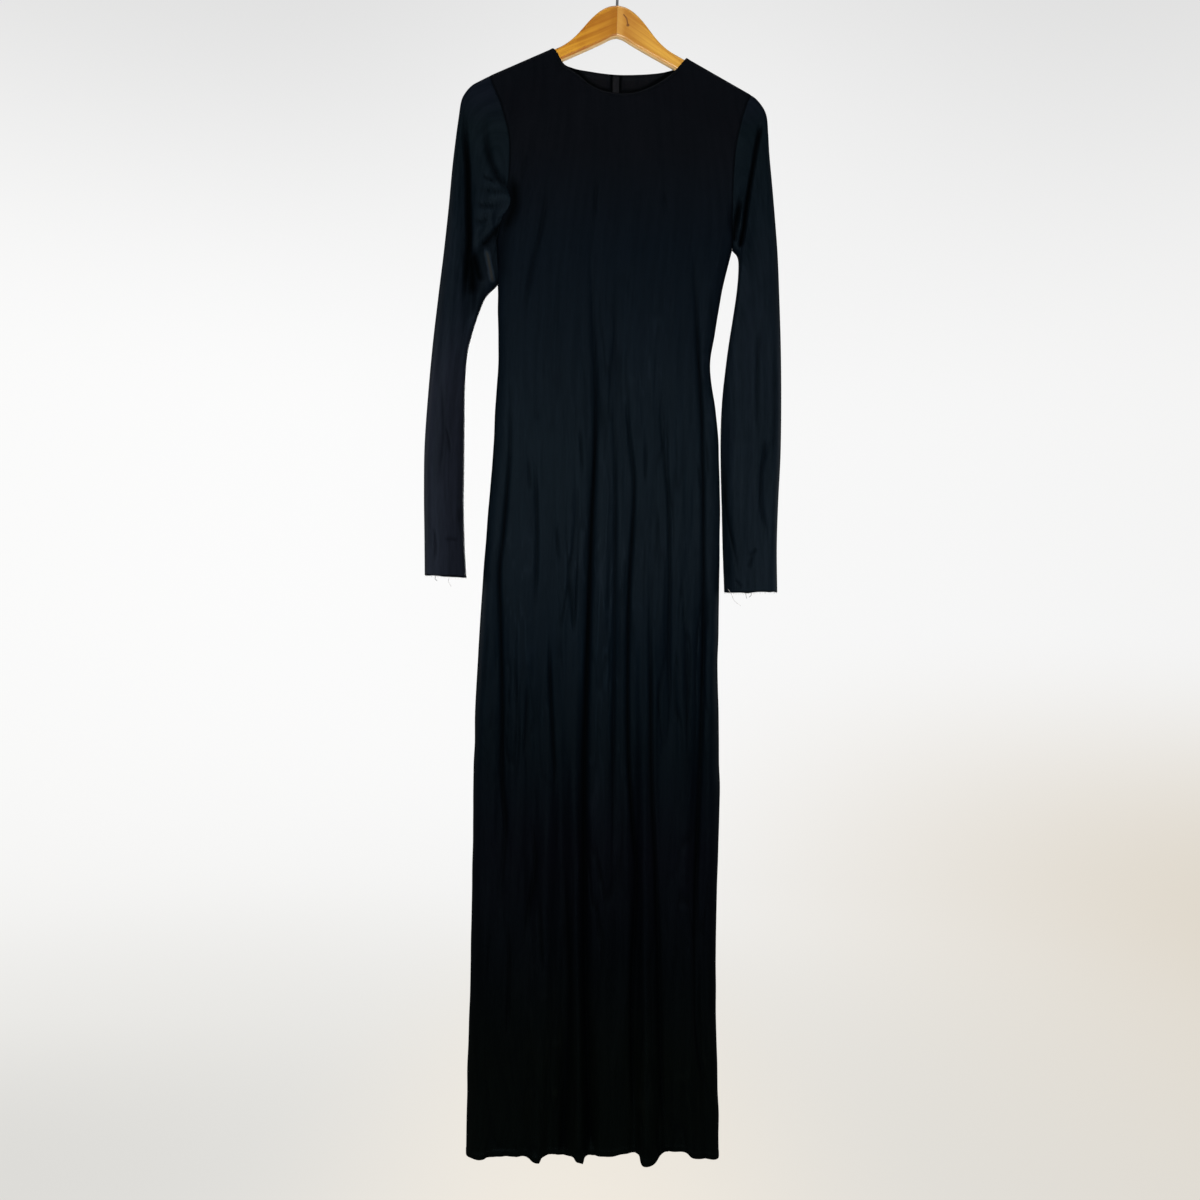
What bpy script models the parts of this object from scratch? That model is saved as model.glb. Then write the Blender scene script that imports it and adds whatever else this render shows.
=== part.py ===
# Long-sleeved jersey maxi dress hanging on a wooden hanger.
# Lengths below are in millimetres and become metres where vertices are made.
# X runs across the dress, the front faces -Y, and Z is up. The origin is the
# highest point inside the hook, where a rail carries it. Left and right in the
# nodes' names are the wearer's, so the right sleeve is at -X.

import math
from collections import namedtuple

import bmesh
import bpy

MM = 0.001
WALL = 1.4  # thickness of the jersey walls
SEAM_HALF_GAP = 0.3  # each side seam edge stops this far from the middle plane
SLEEVE_GAP = 0.5  # a sleeve starts this far outside the armhole edge
UNDERARM_GAP = 1.3  # more room for its wall under the arm
UNDERARM_GAP_START = 0.7  # share of the way down from which that room grows
SLEEVE_GAP_DROP = 0.45  # how far the sleeve also starts lower, as a share of its gap

# Hanger
CROWN_X = 0.8
CROWN_Z = -57.3  # top of the wooden crown
WOOD_THICKNESS = 11.0
WOOD_EDGE = 4.0  # rounding of the wood's long edges
ARM_TILT = math.radians(1.7)  # the wearer's left arm hangs a little lower
MITRE_HALF_GAP = 0.15
WIRE_RADIUS = 1.8
STEM_HOLE_RADIUS = 2.15
STEM_X = 0.4
STEM_DEPTH = 22.0  # length of the stem inside the wood
CUTTER_RISE = 10.0  # the stem hole's cutter stands this far out of the wood
HOOK_INNER_RADIUS = 18.5

# Shoulders, neck and armholes
SHOULDER_RIGHT = (-169.5, -157.5)
SHOULDER_LEFT = (184.5, -174.3)
NECK_RIGHT = (-85.5, -118.3)
NECK_LEFT = (96.5, -126.9)
UNDERARM_RIGHT = -386.0
UNDERARM_LEFT = -384.0
ROLL_RADIUS = 7.7  # the cloth rolls over the top of the arms at this radius
ROLL_SQUARENESS = 2.5  # 2 is a round roll, more is squarer
UNDERARM_ROLL = 70.0  # height in which an armhole edge turns into the side seam
HEM_RIGHT = -1617.0
HEM_LEFT = -1613.0

SIDE_ROLL = 17.0  # radius of the rounded side folds
HUG_END = 18.0  # down to this far below the arms' top the cloth lies close to them
FULL_START = 85.0  # from here on it hangs at its full depth
FOLD_FADE = 22.0  # folds fade out over this much next to a panel's edges
FOLD_CLEAR = 2.0  # and leave this much flat at the very edge
FOLD_GROWTH = 0.8  # power with which a fold deepens along its length
FOLD_RUN_OUT = 0.75  # share of its length from which a fold that ends runs out

# Sleeves: the rounding of their outer edge grows from the shoulder's roll by
# SLEEVE_ROLL_GROWTH, their inner edge is rounder, and the folds of their backs
# are a shallower share of the front's
SLEEVE_ROLL_GROWTH = 18.0
SLEEVE_INNER_ROLL = 26.0
SLEEVE_BACK_FOLDS = 0.35
SLEEVE_FOLD_RAMP = 5.0  # a sleeve fold reaches its depth in a fifth of its length
SLEEVE_FOLD_LEFT = 0.3  # share of that depth left at its lower end

NeckPoint = namedtuple("NeckPoint", "x front back")
NECKLINE = [
    NeckPoint(-85.5, -118.3, -118.3),
    NeckPoint(-79.5, -124.6, -123.0),
    NeckPoint(-74.0, -134.0, -129.8),
    NeckPoint(-68.0, -142.0, -136.0),
    NeckPoint(-59.0, -148.4, -139.4),
    NeckPoint(-50.0, -154.4, -141.6),
    NeckPoint(-34.5, -167.5, -143.6),
    NeckPoint(-20.0, -175.0, -145.3),
    NeckPoint(-5.0, -178.5, -146.4),
    NeckPoint(11.0, -179.5, -146.8),
    NeckPoint(31.0, -176.7, -146.2),
    NeckPoint(51.0, -167.8, -144.8),
    NeckPoint(68.0, -156.4, -142.2),
    NeckPoint(82.0, -143.8, -137.4),
    NeckPoint(90.0, -134.8, -131.4),
    NeckPoint(96.5, -126.9, -126.9),
]

# The hem is a little uneven, as its folds hang
HemPoint = namedtuple("HemPoint", "x front back")
HEM = [
    HemPoint(-163.0, HEM_RIGHT, HEM_RIGHT),
    HemPoint(-146.0, -1616.0, -1615.0),
    HemPoint(-122.0, -1610.5, -1613.0),
    HemPoint(-74.0, -1613.5, -1615.5),
    HemPoint(-44.0, -1608.5, -1612.0),
    HemPoint(-14.0, -1610.0, -1609.5),
    HemPoint(16.0, -1609.5, -1612.5),
    HemPoint(50.0, -1607.0, -1613.5),
    HemPoint(68.0, -1604.0, -1611.0),
    HemPoint(84.0, -1613.0, -1609.0),
    HemPoint(105.0, -1604.0, -1610.5),
    HemPoint(128.0, -1599.0, -1609.0),
    HemPoint(146.0, -1605.5, -1606.5),
    HemPoint(163.0, -1610.0, -1609.5),
    HemPoint(179.0, HEM_LEFT, HEM_LEFT),
]

# The armhole seams, followed down from the shoulder to the underarm
ArmholePoint = namedtuple("ArmholePoint", "height x")
ARMHOLE_RIGHT = [
    ArmholePoint(-157.5, -169.5),
    ArmholePoint(-175.0, -162.5),
    ArmholePoint(-190.0, -155.5),
    ArmholePoint(-209.0, -149.0),
    ArmholePoint(-230.0, -143.0),
    ArmholePoint(-251.0, -139.5),
    ArmholePoint(-297.0, -140.0),
    ArmholePoint(-345.0, -146.0),
    ArmholePoint(-386.0, -154.5),
]
ARMHOLE_LEFT = [
    ArmholePoint(-174.3, 184.5),
    ArmholePoint(-190.5, 178.0),
    ArmholePoint(-222.0, 170.0),
    ArmholePoint(-252.0, 165.2),
    ArmholePoint(-283.0, 163.3),
    ArmholePoint(-330.0, 163.0),
    ArmholePoint(-384.0, 164.5),
]

# Width and half depths of the body below the underarms
BodySection = namedtuple("BodySection", "height right left front back")
BODY = [
    BodySection(-384.0, -154.5, 164.5, 12.5, 10.5),
    BodySection(-440.0, -152.0, 152.5, 12.5, 10.5),
    BodySection(-500.0, -148.5, 143.5, 12.5, 10.5),
    BodySection(-545.0, -148.0, 139.3, 12.5, 10.5),
    BodySection(-600.0, -149.8, 147.0, 12.5, 11.0),
    BodySection(-650.0, -151.2, 153.3, 13.0, 11.5),
    BodySection(-740.0, -155.5, 157.0, 13.5, 12.0),
    BodySection(-850.0, -161.0, 159.0, 14.0, 12.5),
    BodySection(-950.0, -165.0, 160.0, 14.5, 13.0),
    BodySection(-1020.0, -167.0, 163.0, 15.0, 13.5),
    BodySection(-1135.0, -166.0, 167.0, 15.5, 14.0),
    BodySection(-1250.0, -165.0, 166.5, 16.0, 14.5),
    BodySection(-1400.0, -163.5, 169.0, 16.5, 15.0),
    BodySection(-1510.0, -164.0, 174.0, 17.0, 15.5),
    BodySection(-1620.0, -163.0, 179.0, 17.5, 16.0),
]

# Folds of the body: where each one runs across at five heights, the heights
# between which it shows, its depth (ridges positive, valleys negative), half
# width, and how far its crest leans sideways as a share of its height.
CHEST_Z = -350.0
WAIST_Z = -560.0
HIP_Z = -850.0
KNEE_Z = -1200.0
HEM_Z = -1612.0
STATIONS = [HEM_Z, KNEE_Z, HIP_Z, WAIST_Z, CHEST_Z]
Edges = namedtuple("Edges", "right_x right_z left_x left_z")
Fold = namedtuple("Fold", "chest waist hip knee hem start end depth width lean")
FRONT_FOLDS = [
    Fold(-151, -133, -139, -124, -150, -340, -1420, -3.6, 17, 0.0),
    Fold(-100, -97, -89, -85, -96, -600, -1400, -2.6, 15, 0.0),
    Fold(-80, -76, -71, -44, -30, -820, -1612, -4.2, 17, 0.0),
    Fold(-27, -15, -17, -15, 6, -250, -1612, -5.0, 15, 0.0),
    Fold(3, 8, 16, 26, 21, -450, -1350, -3.2, 13, 0.0),
    Fold(26, 29, 38, 55, 64, -470, -1612, -4.6, 14, 0.0),
    Fold(70, 75, 91, 103, 112, -480, -1180, -3.2, 15, 0.0),
    Fold(60, 64, 70, 84, 108, -980, -1612, -4.2, 15, 0.0),
    Fold(108, 127, 138, 139, 166, -360, -1612, -4.4, 17, 0.0),
    Fold(-155, -150, -148, -146, -146, -1250, -1612, 4.0, 18, 0.0),
    Fold(-70, -68, -66, -64, -71, -1050, -1612, 8.5, 21, 0.35),
    Fold(-44, -40, -38, -28, -14, -900, -1612, 9.5, 18, 0.35),
    Fold(58, 58, 58, 71, 83, -900, -1612, 10.5, 21, -0.35),
    Fold(110, 112, 114, 120, 140, -1150, -1612, 5.0, 20, 0.0),
]
BACK_FOLDS = [
    Fold(-132, -126, -130, -136, -128, -380, -1612, -3.8, 18, 0.0),
    Fold(-92, -84, -96, -108, -102, -520, -1612, 6.0, 20, 0.25),
    Fold(-52, -50, -61, -72, -64, -330, -1612, -4.4, 17, 0.0),
    Fold(-20, -16, -22, -30, -37, -760, -1612, 7.5, 20, 0.3),
    Fold(14, 6, 2, 4, -4, -300, -1612, -4.6, 16, 0.0),
    Fold(44, 40, 46, 38, 30, -640, -1400, -3.0, 15, 0.0),
    Fold(70, 66, 62, 58, 66, -880, -1612, 8.0, 21, -0.3),
    Fold(96, 92, 98, 94, 100, -420, -1612, -4.2, 18, 0.0),
    Fold(128, 124, 134, 136, 146, -700, -1612, 4.5, 20, 0.0),
]

# Sleeve rings, each from the outer edge to the inner edge of the sleeve as seen
# from the front. Thickness is a ring's half depth, and turn is its twist in
# degrees, with the inner edge going back. The first ring is the armhole itself.
Ring = namedtuple("Ring", "outer_x outer_z inner_x inner_z thickness turn")
SLEEVE_RIGHT = [
    Ring(-181.0, -163.8, -157.4, -389.5, 11.8, 0),
    Ring(-193.0, -170.9, -157.6, -392.8, 11.9, 0),
    Ring(-202.0, -181.4, -157.8, -398.0, 12.0, 1),
    Ring(-207.0, -193.0, -158.0, -405.5, 12.3, 2),
    Ring(-209.8, -215.0, -158.6, -417.5, 12.8, 4),
    Ring(-212.7, -243.0, -161.2, -433.5, 13.3, 7),
    Ring(-216.4, -285.0, -167.2, -452.0, 14.0, 12),
    Ring(-219.3, -335.0, -175.6, -474.0, 15.0, 20),
    Ring(-224.0, -395.0, -184.8, -504.0, 16.0, 28),
    Ring(-229.8, -455.0, -191.6, -538.0, 16.5, 34),
    Ring(-235.4, -520.0, -193.8, -582.0, 17.0, 38),
    Ring(-239.6, -590.0, -193.0, -632.0, 17.0, 40),
    Ring(-242.2, -660.0, -192.2, -686.0, 17.0, 42),
    Ring(-241.4, -725.0, -191.4, -738.0, 17.0, 43),
    Ring(-239.2, -780.0, -189.2, -787.0, 16.5, 44),
    Ring(-237.0, -834.5, -185.8, -836.0, 16.0, 45),
]
SLEEVE_LEFT = [
    Ring(190.5, -178.3, 168.2, -387.6, 11.8, 0),
    Ring(198.0, -186.3, 170.8, -390.2, 11.9, 0),
    Ring(203.8, -195.4, 172.7, -394.0, 12.0, 1),
    Ring(207.0, -206.0, 174.0, -399.6, 12.3, 2),
    Ring(209.0, -226.0, 174.4, -411.0, 12.7, 4),
    Ring(211.4, -255.0, 173.8, -428.0, 13.0, 6),
    Ring(215.6, -292.0, 172.0, -450.0, 13.5, 9),
    Ring(220.4, -338.0, 168.8, -478.0, 14.0, 12),
    Ring(225.2, -390.0, 165.0, -508.0, 14.0, 15),
    Ring(228.8, -450.0, 161.4, -542.0, 14.0, 17),
    Ring(232.4, -520.0, 158.0, -586.0, 14.0, 18),
    Ring(234.6, -590.0, 157.2, -632.0, 14.0, 19),
    Ring(235.4, -660.0, 158.8, -684.0, 14.0, 20),
    Ring(234.0, -725.0, 161.4, -736.0, 13.5, 20),
    Ring(233.8, -785.0, 164.0, -790.0, 13.0, 20),
    Ring(236.0, -845.0, 167.6, -847.5, 13.0, 20),
]
SETTLED_RING = 8.0  # from this ring on, nothing is left of the armhole's shape

# Sleeve folds run through three points of the front view
SleeveFold = namedtuple("SleeveFold", "top_x top_z mid_x mid_z low_x low_z depth width")
FOLDS_RIGHT_SLEEVE = [
    SleeveFold(-204, -198, -192, -365, -190, -500, -5.0, 13),
    SleeveFold(-179, -197, -166, -257, -148, -320, -3.0, 14),
    SleeveFold(-144, -343, -180, -392, -190, -530, -4.5, 12),
    SleeveFold(-212, -520, -216, -680, -212, -836, 2.6, 15),
]
FOLDS_LEFT_SLEEVE = [
    SleeveFold(203, -205, 190, -285, 176, -400, -4.6, 14),
    SleeveFold(205, -470, 212, -650, 216, -845, -3.0, 14),
    SleeveFold(176, -600, 172, -700, 178, -845, 2.4, 13),
]

# Rows of the panels, as shares of the way from the shoulder to the underarm and
# from the underarm to the hem
ARMHOLE_SHARES = [0.0, 0.005, 0.017, 0.034, 0.075, 0.13, 0.2, 0.285, 0.385, 0.5, 0.62, 0.74, 0.86, 0.94, 1.0]
FRONT_BODY_ROWS = 21
BACK_BODY_ROWS = 16
NECK_COLUMNS = 19
SHOULDER_COLUMNS = 8
BACK_NECK_COLUMNS = 13
BACK_SHOULDER_COLUMNS = 7
EDGE_SHARES = [0.0, 0.004, 0.014, 0.03, 0.052]  # columns that round the side folds
NECK_EDGE_SHARES = [0.006, 0.014]  # columns where the neck edge rounds the wood

# Neck tape
TAPE_X = 1.5
TAPE_WIDTH = 10.0
TAPE_LENGTH = 34.0
TAPE_THICKNESS = 1.0
TAPE_DROP = 3.0  # below the back neck edge
TAPE_ROWS = 6
TAPE_GAP = 0.4

JERSEY = (0.010, 0.013, 0.018)
TAPE = (0.030, 0.032, 0.036)
WOOD_DARK = (0.50, 0.24, 0.07)
WOOD_LIGHT = (0.62, 0.36, 0.13)
STEEL = (0.35, 0.35, 0.36)


def smoothstep(value, low, high):
    share = min(1.0, max(0.0, (value - low) / (high - low)))
    return share * share * (3.0 - 2.0 * share)


def curve_through(knots, values, at):
    """Value at a place on a smooth curve through values at rising knots."""
    if at <= knots[0]:
        return values[0]
    if at >= knots[-1]:
        return values[-1]
    i = max(k for k in range(len(knots) - 1) if knots[k] <= at)
    slopes = []
    for k in (i, i + 1):
        before = max(0, k - 1)
        after = min(len(knots) - 1, k + 1)
        slopes.append((values[after] - values[before]) / (knots[after] - knots[before]))
    step = knots[i + 1] - knots[i]
    t = (at - knots[i]) / step
    return (
        (2 * t**3 - 3 * t**2 + 1) * values[i]
        + (t**3 - 2 * t**2 + t) * step * slopes[0]
        + (3 * t**2 - 2 * t**3) * values[i + 1]
        + (t**3 - t**2) * step * slopes[1]
    )


def table_value(rows, key, column, at):
    """Read one column of a table at a place of its key column."""
    ordered = sorted(rows, key=lambda row: getattr(row, key))
    knots = [getattr(row, key) for row in ordered]
    return curve_through(knots, [getattr(row, column) for row in ordered], at)


def wood_top(x):
    """Height of the line that the cloth follows over the arms, carried on inwards."""
    neck_x, neck_z = NECK_RIGHT if x < CROWN_X else NECK_LEFT
    end_x, end_z = SHOULDER_RIGHT if x < CROWN_X else SHOULDER_LEFT
    return neck_z + (end_z - neck_z) * (x - neck_x) / (end_x - neck_x)


def top_edge(x, face):
    """Height of a panel's top edge: shoulder, neckline, shoulder."""
    if NECK_RIGHT[0] <= x <= NECK_LEFT[0]:
        return table_value(NECKLINE, "x", face, x)
    return wood_top(x)


def hem_edge(x, face):
    """Height of a panel's hem."""
    return table_value(HEM, "x", face, x)


def armhole_edges(share):
    """Both edges of a row between the shoulders and the underarms."""
    right_z = SHOULDER_RIGHT[1] + (UNDERARM_RIGHT - SHOULDER_RIGHT[1]) * share
    left_z = SHOULDER_LEFT[1] + (UNDERARM_LEFT - SHOULDER_LEFT[1]) * share
    right_x = table_value(ARMHOLE_RIGHT, "height", "x", right_z)
    left_x = table_value(ARMHOLE_LEFT, "height", "x", left_z)
    return Edges(right_x, right_z, left_x, left_z)


def seam_edges(share):
    """Both edges of a row between the underarms and the hem."""
    right_z = UNDERARM_RIGHT + (HEM_RIGHT - UNDERARM_RIGHT) * share
    left_z = UNDERARM_LEFT + (HEM_LEFT - UNDERARM_LEFT) * share
    right_x = table_value(BODY, "height", "right", right_z)
    left_x = table_value(BODY, "height", "left", left_z)
    return Edges(right_x, right_z, left_x, left_z)


def fold_relief(folds, x, z):
    """Height of the folds at a point of a panel, and their sideways lean."""
    relief = 0.0
    shift = 0.0
    for fold in folds:
        path = [fold.hem, fold.knee, fold.hip, fold.waist, fold.chest]
        centre = curve_through(STATIONS, path, z)
        across = abs(x - centre) / fold.width
        if across >= 1.0 or z > fold.start:
            continue
        along = (fold.start - z) / (fold.start - fold.end)
        height = fold.depth * min(1.0, along) ** FOLD_GROWTH
        if fold.end > HEM_Z:
            height *= 1.0 - smoothstep(along, FOLD_RUN_OUT, 1.0)
        height *= 0.5 + 0.5 * math.cos(math.pi * across)
        relief += height
        shift += fold.lean * height
    return relief, shift


def panel_depth(x, z, face):
    """Half depth of the dress at a point of a panel, without its folds."""
    full = table_value(BODY, "height", face, z)
    below = wood_top(x) - z
    hugging = ROLL_RADIUS + (full - ROLL_RADIUS) * smoothstep(below, HUG_END, FULL_START)
    if below < ROLL_RADIUS:
        left_over = min(1.0, max(0.0, 1.0 - below / ROLL_RADIUS))
        hugging *= (1.0 - left_over**ROLL_SQUARENESS) ** (1.0 / ROLL_SQUARENESS)
    return hugging


def edge_closing(z, underarm):
    """How far an edge has turned in to the side seam: 0 open, 1 closed."""
    rise = (z - underarm) / UNDERARM_ROLL
    if rise <= 0.0:
        return 1.0
    if rise >= 1.0:
        return 0.0
    return 1.0 - math.sqrt(1.0 - (1.0 - rise) ** 2)


def edge_profile(from_edge, closing):
    """Share of the full depth at a distance inside a panel's edge."""
    inside = min(1.0, max(0.0, from_edge / SIDE_ROLL))
    rounded = math.sqrt(max(0.0, 1.0 - (1.0 - inside) ** 2))
    return 1.0 - closing * (1.0 - rounded)


def panel_point(share, z, edges, face, folds):
    """A point of a panel's middle surface, from its share of the width."""
    x = edges.right_x + (edges.left_x - edges.right_x) * share
    from_right = x - edges.right_x
    from_left = edges.left_x - x
    depth = panel_depth(x, z, face)
    depth *= edge_profile(from_right, edge_closing(edges.right_z, UNDERARM_RIGHT))
    depth *= edge_profile(from_left, edge_closing(edges.left_z, UNDERARM_LEFT))
    relief, shift = fold_relief(folds, x, z)
    fading = smoothstep(min(from_right, from_left), FOLD_CLEAR, FOLD_FADE)
    depth = max(depth + relief * fading, SEAM_HALF_GAP)
    return x + shift * fading, -depth if face == "front" else depth, z


def armhole_zone_point(share, row, face, folds):
    """A point between the shoulders and the underarms."""
    top_x = SHOULDER_RIGHT[0] + (SHOULDER_LEFT[0] - SHOULDER_RIGHT[0]) * share
    start = top_edge(top_x, face)
    end = UNDERARM_RIGHT + (UNDERARM_LEFT - UNDERARM_RIGHT) * share
    z = start + (end - start) * ARMHOLE_SHARES[row]
    return panel_point(share, z, armhole_edges(ARMHOLE_SHARES[row]), face, folds)


def column_shares(neck_columns, shoulder_columns):
    """Places of a panel's columns, with one exactly on each neck point."""
    width = SHOULDER_LEFT[0] - SHOULDER_RIGHT[0]
    neck_start = (NECK_RIGHT[0] - SHOULDER_RIGHT[0]) / width
    neck_end = (NECK_LEFT[0] - SHOULDER_RIGHT[0]) / width
    first = EDGE_SHARES[-1]
    shares = list(EDGE_SHARES)
    for i in range(1, shoulder_columns + 1):
        shares.append(first + (neck_start - first) * i / shoulder_columns)
    shares += [neck_start + share for share in NECK_EDGE_SHARES]
    for i in range(1, neck_columns):
        shares.append(neck_start + (neck_end - neck_start) * i / neck_columns)
    shares += [neck_end - share for share in reversed(NECK_EDGE_SHARES)]
    shares.append(neck_end)
    for i in range(1, shoulder_columns + 1):
        shares.append(neck_end + (1.0 - first - neck_end) * i / shoulder_columns)
    return shares + [1.0 - share for share in reversed(EDGE_SHARES[:-1])]


def panel_rows(shares, body_rows, face, folds):
    """Grid of points of a panel, from its top edge to its hem."""
    rows = []
    for row in range(len(ARMHOLE_SHARES)):
        rows.append([armhole_zone_point(share, row, face, folds) for share in shares])
    for row in range(1, body_rows + 1):
        edges = seam_edges(row / body_rows)
        line = []
        for share in shares:
            start = UNDERARM_RIGHT + (UNDERARM_LEFT - UNDERARM_RIGHT) * share
            end = hem_edge(HEM[0].x + (HEM[-1].x - HEM[0].x) * share, face)
            z = start + (end - start) * row / body_rows
            line.append(panel_point(share, z, edges, face, folds))
        rows.append(line)
    return rows


def armhole_edge(side, face, folds):
    """Points of a panel's armhole edge, each moved out to clear the seam."""
    edge_share, outward = (0.0, -1.0) if side == "right" else (1.0, 1.0)
    points = []
    for row, share in enumerate(ARMHOLE_SHARES):
        x, y, z = armhole_zone_point(edge_share, row, face, folds)
        gap = SLEEVE_GAP + UNDERARM_GAP * smoothstep(share, UNDERARM_GAP_START, 1.0)
        points.append([x + outward * gap, y, z - SLEEVE_GAP_DROP * gap])
    return points


def sleeve_fold_relief(folds, x, z):
    relief = 0.0
    for fold in folds:
        if not fold.low_z <= z <= fold.top_z:
            continue
        knots = [fold.low_z, fold.mid_z, fold.top_z]
        centre = curve_through(knots, [fold.low_x, fold.mid_x, fold.top_x], z)
        across = abs(x - centre) / fold.width
        if across >= 1.0:
            continue
        along = (fold.top_z - z) / (fold.top_z - fold.low_z)
        falling = SLEEVE_FOLD_LEFT + SLEEVE_FOLD_RAMP * (1.0 - along)
        height = fold.depth * min(1.0, SLEEVE_FOLD_RAMP * along, falling)
        relief += height * (0.5 + 0.5 * math.cos(math.pi * across))
    return relief


def ring_points(ring, first, level, seam, folds):
    """Points of one sleeve ring: down its front and up its back.

    The first rings still carry the shape of the armhole seam.
    """
    count = len(ARMHOLE_SHARES) - 1
    settle = smoothstep(level, 0.0, SETTLED_RING)
    turn = math.radians(ring.turn)
    side = 1.0 if ring.outer_x > 0.0 else -1.0
    half_x = 0.5 * abs(ring.outer_x - ring.inner_x)
    spread = math.sqrt(max(0.0, half_x**2 - (ring.thickness * math.sin(turn)) ** 2))
    half_y = spread * math.tan(turn)
    chord_z = ring.inner_z - ring.outer_z
    chord = 2.0 * math.sqrt(spread**2 + half_y**2 + 0.25 * chord_z**2)
    roll_out = min(0.5 * chord, ROLL_RADIUS + SLEEVE_ROLL_GROWTH * settle)
    roll_in = min(0.5 * chord, SLEEVE_INNER_ROLL)
    points = []
    for outward in (-1.0, 1.0):
        run = range(count + 1) if outward < 0.0 else range(count - 1, 0, -1)
        for j in run:
            even = 0.5 - 0.5 * math.cos(math.pi * j / count)
            share = ARMHOLE_SHARES[j] + (even - ARMHOLE_SHARES[j]) * settle
            out_part = min(1.0, share * chord / roll_out)
            in_part = min(1.0, (1.0 - share) * chord / roll_in)
            profile = math.sqrt(1.0 - (1.0 - out_part) ** 2) * math.sqrt(1.0 - (1.0 - in_part) ** 2)
            bulge = outward * ring.thickness * profile
            x = ring.outer_x - side * (half_x - spread + 2.0 * spread * share)
            x += side * bulge * math.sin(turn)
            z = ring.outer_z + chord_z * share
            relief = sleeve_fold_relief(folds, x, z) * profile
            if outward > 0.0:
                relief *= SLEEVE_BACK_FOLDS
            y = (2.0 * share - 1.0) * half_y + bulge * math.cos(turn) + outward * relief
            start = seam[len(points)]
            moved_x = start[0] + (ring.outer_x - first[0]) * (1.0 - ARMHOLE_SHARES[j])
            moved_x += (ring.inner_x - first[2]) * ARMHOLE_SHARES[j]
            moved_z = start[2] + (ring.outer_z - first[1]) * (1.0 - ARMHOLE_SHARES[j])
            moved_z += (ring.inner_z - first[3]) * ARMHOLE_SHARES[j]
            moved = (moved_x, start[1], moved_z)
            points.append([moved[k] + ((x, y, z)[k] - moved[k]) * settle for k in range(3)])
    return points


def metres(point):
    return tuple(part * MM for part in point)


def new_object(name, points, faces, colour, roughness, metallic=0.0):
    mesh = bpy.data.meshes.new(name)
    mesh.from_pydata(points, [], faces)
    mesh.validate()
    obj = bpy.data.objects.new(name, mesh)
    parts.objects.link(obj)
    return finish(obj, colour, roughness, metallic)


def finish(obj, colour, roughness, metallic=0.0):
    """Give an object its own material and smooth shading."""
    material = bpy.data.materials.new(obj.name)
    material.use_nodes = True
    shader = material.node_tree.nodes["Principled BSDF"]
    shader.inputs["Base Color"].default_value = (*colour, 1.0)
    shader.inputs["Roughness"].default_value = roughness
    shader.inputs["Metallic"].default_value = metallic
    obj.data.materials.clear()
    obj.data.materials.append(material)
    obj.data.shade_smooth()
    return obj


def grid_faces(row_count, column_count, closed, flip):
    """Quads between the rows of a grid, each column joined to the next."""
    faces = []
    last = column_count if closed else column_count - 1
    for row in range(row_count - 1):
        for column in range(last):
            beside = (column + 1) % column_count
            quad = (
                row * column_count + column,
                (row + 1) * column_count + column,
                (row + 1) * column_count + beside,
                row * column_count + beside,
            )
            faces.append(quad[::-1] if flip else quad)
    return faces


def cloth(name, rows, closed, flip, colour=JERSEY, wall=WALL):
    """A wall of cloth on a grid of middle-surface points."""
    points = [metres(point) for row in rows for point in row]
    faces = grid_faces(len(rows), len(rows[0]), closed, flip)
    obj = new_object(name, points, faces, colour, 0.75)
    thick = obj.modifiers.new("wall", "SOLIDIFY")
    thick.thickness = wall * MM
    thick.offset = 0.0
    return obj


def sleeve(name, side, rings, folds):
    """A set-in sleeve, from the armhole edge to the cuff."""
    front = armhole_edge(side, "front", FRONT_FOLDS)
    back = armhole_edge(side, "back", BACK_FOLDS)
    front[0][1] = 0.0
    front[-1][1] = 0.0
    seam = front + back[-2:0:-1]
    first = (front[0][0], front[0][2], front[-1][0], front[-1][2])
    rows = [seam]
    for level, ring in enumerate(rings, start=1):
        rows.append(ring_points(ring, first, level, seam, folds))
    return cloth(name, rows, closed=True, flip=side == "left")


def neck_tape():
    """A narrow tape that lies on the inside of the back at the neck."""
    inward = 0.5 * WALL + TAPE_GAP + 0.5 * TAPE_THICKNESS
    rows = []
    for drop in range(TAPE_ROWS + 1):
        line = []
        for across in (-0.5, 0.0, 0.5):
            x = TAPE_X + TAPE_WIDTH * across
            z = top_edge(x, "back") - TAPE_DROP - TAPE_LENGTH * drop / TAPE_ROWS
            line.append((x, panel_depth(x, z, "back") - inward, z))
        rows.append(line)
    return cloth("neck_tape", rows, closed=False, flip=False, colour=TAPE, wall=TAPE_THICKNESS)


def arm_outline():
    """Outline of one hanger arm, outwards and down from the crown's top."""
    top = [(0.0, 0.0), (11.0, -2.0), (21.0, -7.2), (29.5, -14.2), (37.5, -22.6), (45.5, -32.4)]
    top += [(53.0, -41.4), (61.0, -49.4), (71.0, -57.2), (84.0, -64.2), (110.0, -77.2)]
    tip = [(150.0, -97.3), (183.0, -114.0), (191.0, -119.4), (196.5, -125.8), (198.5, -132.5)]
    tip += [(197.0, -138.0), (192.0, -139.6), (185.0, -136.0)]
    bottom = [(140.0, -112.6), (84.0, -84.6), (40.0, -62.6), (19.0, -51.6), (8.0, -45.4), (0.0, -43.2)]
    return top + tip + bottom


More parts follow.
